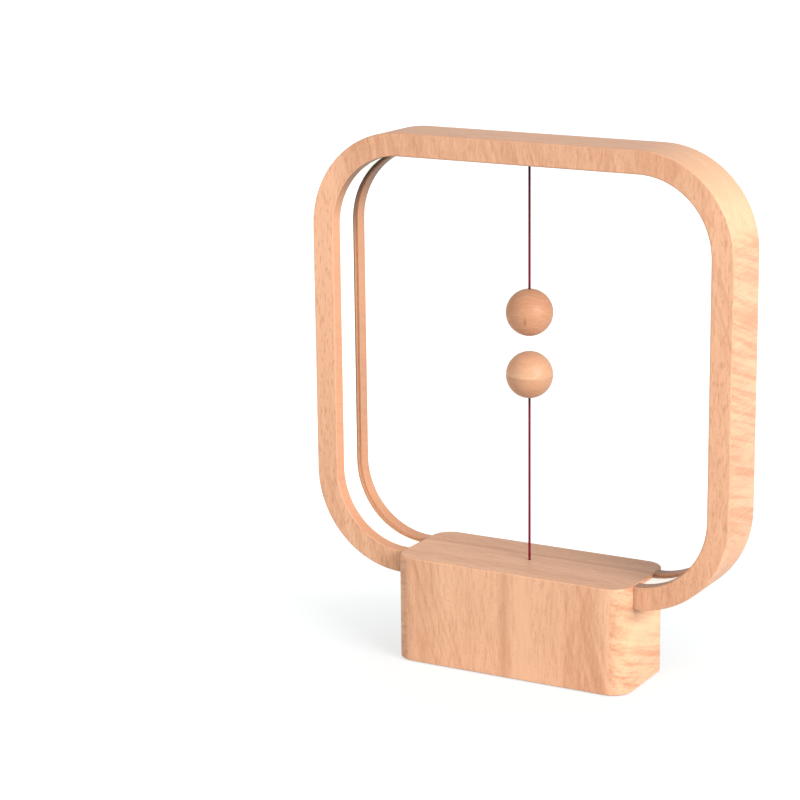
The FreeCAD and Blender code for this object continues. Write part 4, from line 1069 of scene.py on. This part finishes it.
# where the small parts sit, in millimetres
COVER_SCREWS = mirrored(49.4, 18.0, 0.5)
BOARD_SCREWS = [(x, y, 10.1) for x in (17.4, 39.4) for y in (-12, 12.5)]
GUIDE_SCREWS = [(-12.5, -4.5, 45), (-12.5, 4.5, 45), (25.5, -4.5, 45)]
SWITCH_SCREWS = [(14.25, -3.2, 31.3), (23.75, -3.2, 31.3)]
FEET = mirrored(58.2, 18.0, 0.0)

UPRIGHT = Matrix.Identity(4)
HEAD_DOWN = Matrix.Rotation(math.pi, 4, "X")
HEAD_TO_FRONT = Matrix.Rotation(math.pi / 2, 4, "X")
UP = (0, 0, 1)
BACK = (0, 1, 0)


def place_small_parts(steel):
    tree = copies_at_places()
    rubber = even_finish("foot_rubber", srgb(44, 43, 42), 0.85, grain=2600.0, depth=0.03, specular=0.3)

    def fixed(name, node, finish, part, places, axis, seed):
        points = [(x * MM, y * MM, z * MM) for x, y, z in places]
        values = {"Own Axis": axis, "Most Turn": math.pi, "Seed": seed, "Finish": finish}
        stand_in(grown(name, points, [], tree, part, values), node)

    fixed("cover_fixing_screws", "cover_screws", steel,
          sunk_screw("cover_screw", head=5.0, shank=2.6, length=12.0, turn=HEAD_DOWN),
          COVER_SCREWS, UP, seed=3)
    fixed("board_fixing_screws", "board_screws", steel,
          pan_screw("board_screw", head=3.8, head_height=1.3, shank=2.0, length=5.0, turn=UPRIGHT),
          BOARD_SCREWS, UP, seed=5)
    fixed("guide_fixing_screws", "guide_screws", steel,
          pan_screw("guide_screw", head=4.5, head_height=1.8, shank=2.4, length=6.5, turn=HEAD_DOWN),
          GUIDE_SCREWS, UP, seed=7)
    fixed("switch_fixing_screws", "switch_screws", steel,
          pan_screw("switch_screw", head=3.8, head_height=1.3, shank=2.0, length=8.6, turn=HEAD_TO_FRONT),
          SWITCH_SCREWS, BACK, seed=9)
    fixed("moulded_feet", "rubber_feet", rubber, foot("moulded_foot", UPRIGHT),
          FEET, UP, seed=2)


def tape_line():
    """Points along the middle of the tape's face, from its lower left over the top to its lower right."""
    across = TAPE_SIDE - TAPE_CORNER
    angles = [math.pi / 2 * step / ARC_STEPS for step in range(ARC_STEPS + 1)]
    right = [(across + TAPE_CORNER * math.sin(angle), 0, TAPE_TOP - TAPE_CORNER * (1 - math.cos(angle)))
             for angle in angles]
    right += [(across + TAPE_CORNER * math.cos(angle), 0, TAPE_BOTTOM + TAPE_CORNER * (1 - math.sin(angle)))
              for angle in angles]
    left = [(-x, y, z) for x, y, z in reversed(right)]
    return left + right


def place_light_chips():
    line = tape_line()
    edges = [(index, index + 1) for index in range(len(line) - 1)]
    values = {"Count": CHIPS, "Reach": (CHIPS - 1) / 2 * CHIP_PITCH, "Finish": light_chip_finish()}
    chips = grown("light_chip_row", line, edges, copies_along_line(), light_chip("light_chip"), values)
    stand_in(chips, "led_chips")


def dress(material, *names):
    """Gives solids their finish."""
    for name in names:
        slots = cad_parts[name].data.materials
        slots.clear()
        slots.append(material)


dress(frame_beech(), "ring_frame")
dress(base_beech(), "base_housing")
dress(dowel_beech(), "ring_dowels")
dress(turned_beech("beech_upper_ball", centre=(0, 0, 166), axis=(0.44, -0.86, 0.12), wander=6, calm=0.3,
                   warmth=(0.77, 0.70, 0.65), mark=(3.1, -11.0, 14.3)), "upper_ball_top", "upper_ball_bottom")
dress(turned_beech("beech_lower_ball_top", centre=(0, 0, 140), axis=(0.89, 0.45, 0.05), wander=1.6, calm=0.62,
                   warmth=(0.90, 0.91, 0.90), pale_level=12.7), "lower_ball_top")
dress(turned_beech("beech_lower_ball_bottom", centre=(0, 0, 168), axis=(0.88, 0.46, -0.06), wander=1.6,
                   calm=0.55, warmth=(0.80, 0.80, 0.78)), "lower_ball_bottom")
dress(opal(), "light_diffuser")
dress(RED_CORD, "upper_cord_bend", "upper_cord_tail", "anchor_knot", "upper_ball_knot",
      "lower_cord_bend", "lower_cord_tail", "plunger_knot", "lower_ball_knot")
dress(tape(), "led_tape")
dress(turned_metal("turned_brass", srgb(212, 176, 104), 0.32, (50, 50, 5200)),
      "cord_anchor", "board_standoffs", "switch_terminals")
dress(even_finish("natural_nylon", srgb(230, 227, 214), 0.45, grain=2400.0),
      "plunger_guide", "guide_cap", "pull_plunger", "striker_disc", "cord_liner")
dress(turned_metal("spring_steel", srgb(176, 178, 184), 0.30, (70, 5600, 900)),
      "plunger_spring", "switch_lever")
dress(even_finish("black_moulding", srgb(40, 40, 42), 0.55, grain=3600.0, depth=0.03, specular=0.4),
      "micro_switch", "socket_bezel")
dress(even_finish("red_button", srgb(190, 40, 32), 0.35, grain=2800.0), "switch_button")
dress(even_finish("nickel_plating", srgb(206, 207, 210), 0.14, grain=1200.0, metallic=1.0, depth=0.01,
                  variation=0.04), "upper_magnet", "lower_magnet")
dress(powder_coat(), "bottom_cover")
dress(circuit_board(), "driver_board")
dress(driver_chip(), "driver_chip")
dress(winding(), "choke_coil")
dress(capacitor(), "smoothing_capacitor")
dress(turned_metal("drawn_shell", srgb(188, 190, 194), 0.28, (60, 4200, 60)), "power_socket")
dress(insulation("lamp_leads", srgb(30, 28, 28), srgb(176, 30, 24)), "led_leads")
dress(insulation("switch_lead_pair", srgb(236, 234, 228), srgb(236, 234, 228)), "switch_leads")
place_small_parts(turned_metal("screw_steel", srgb(196, 198, 202), 0.30, (900, 900, 4200)))
place_light_chips()
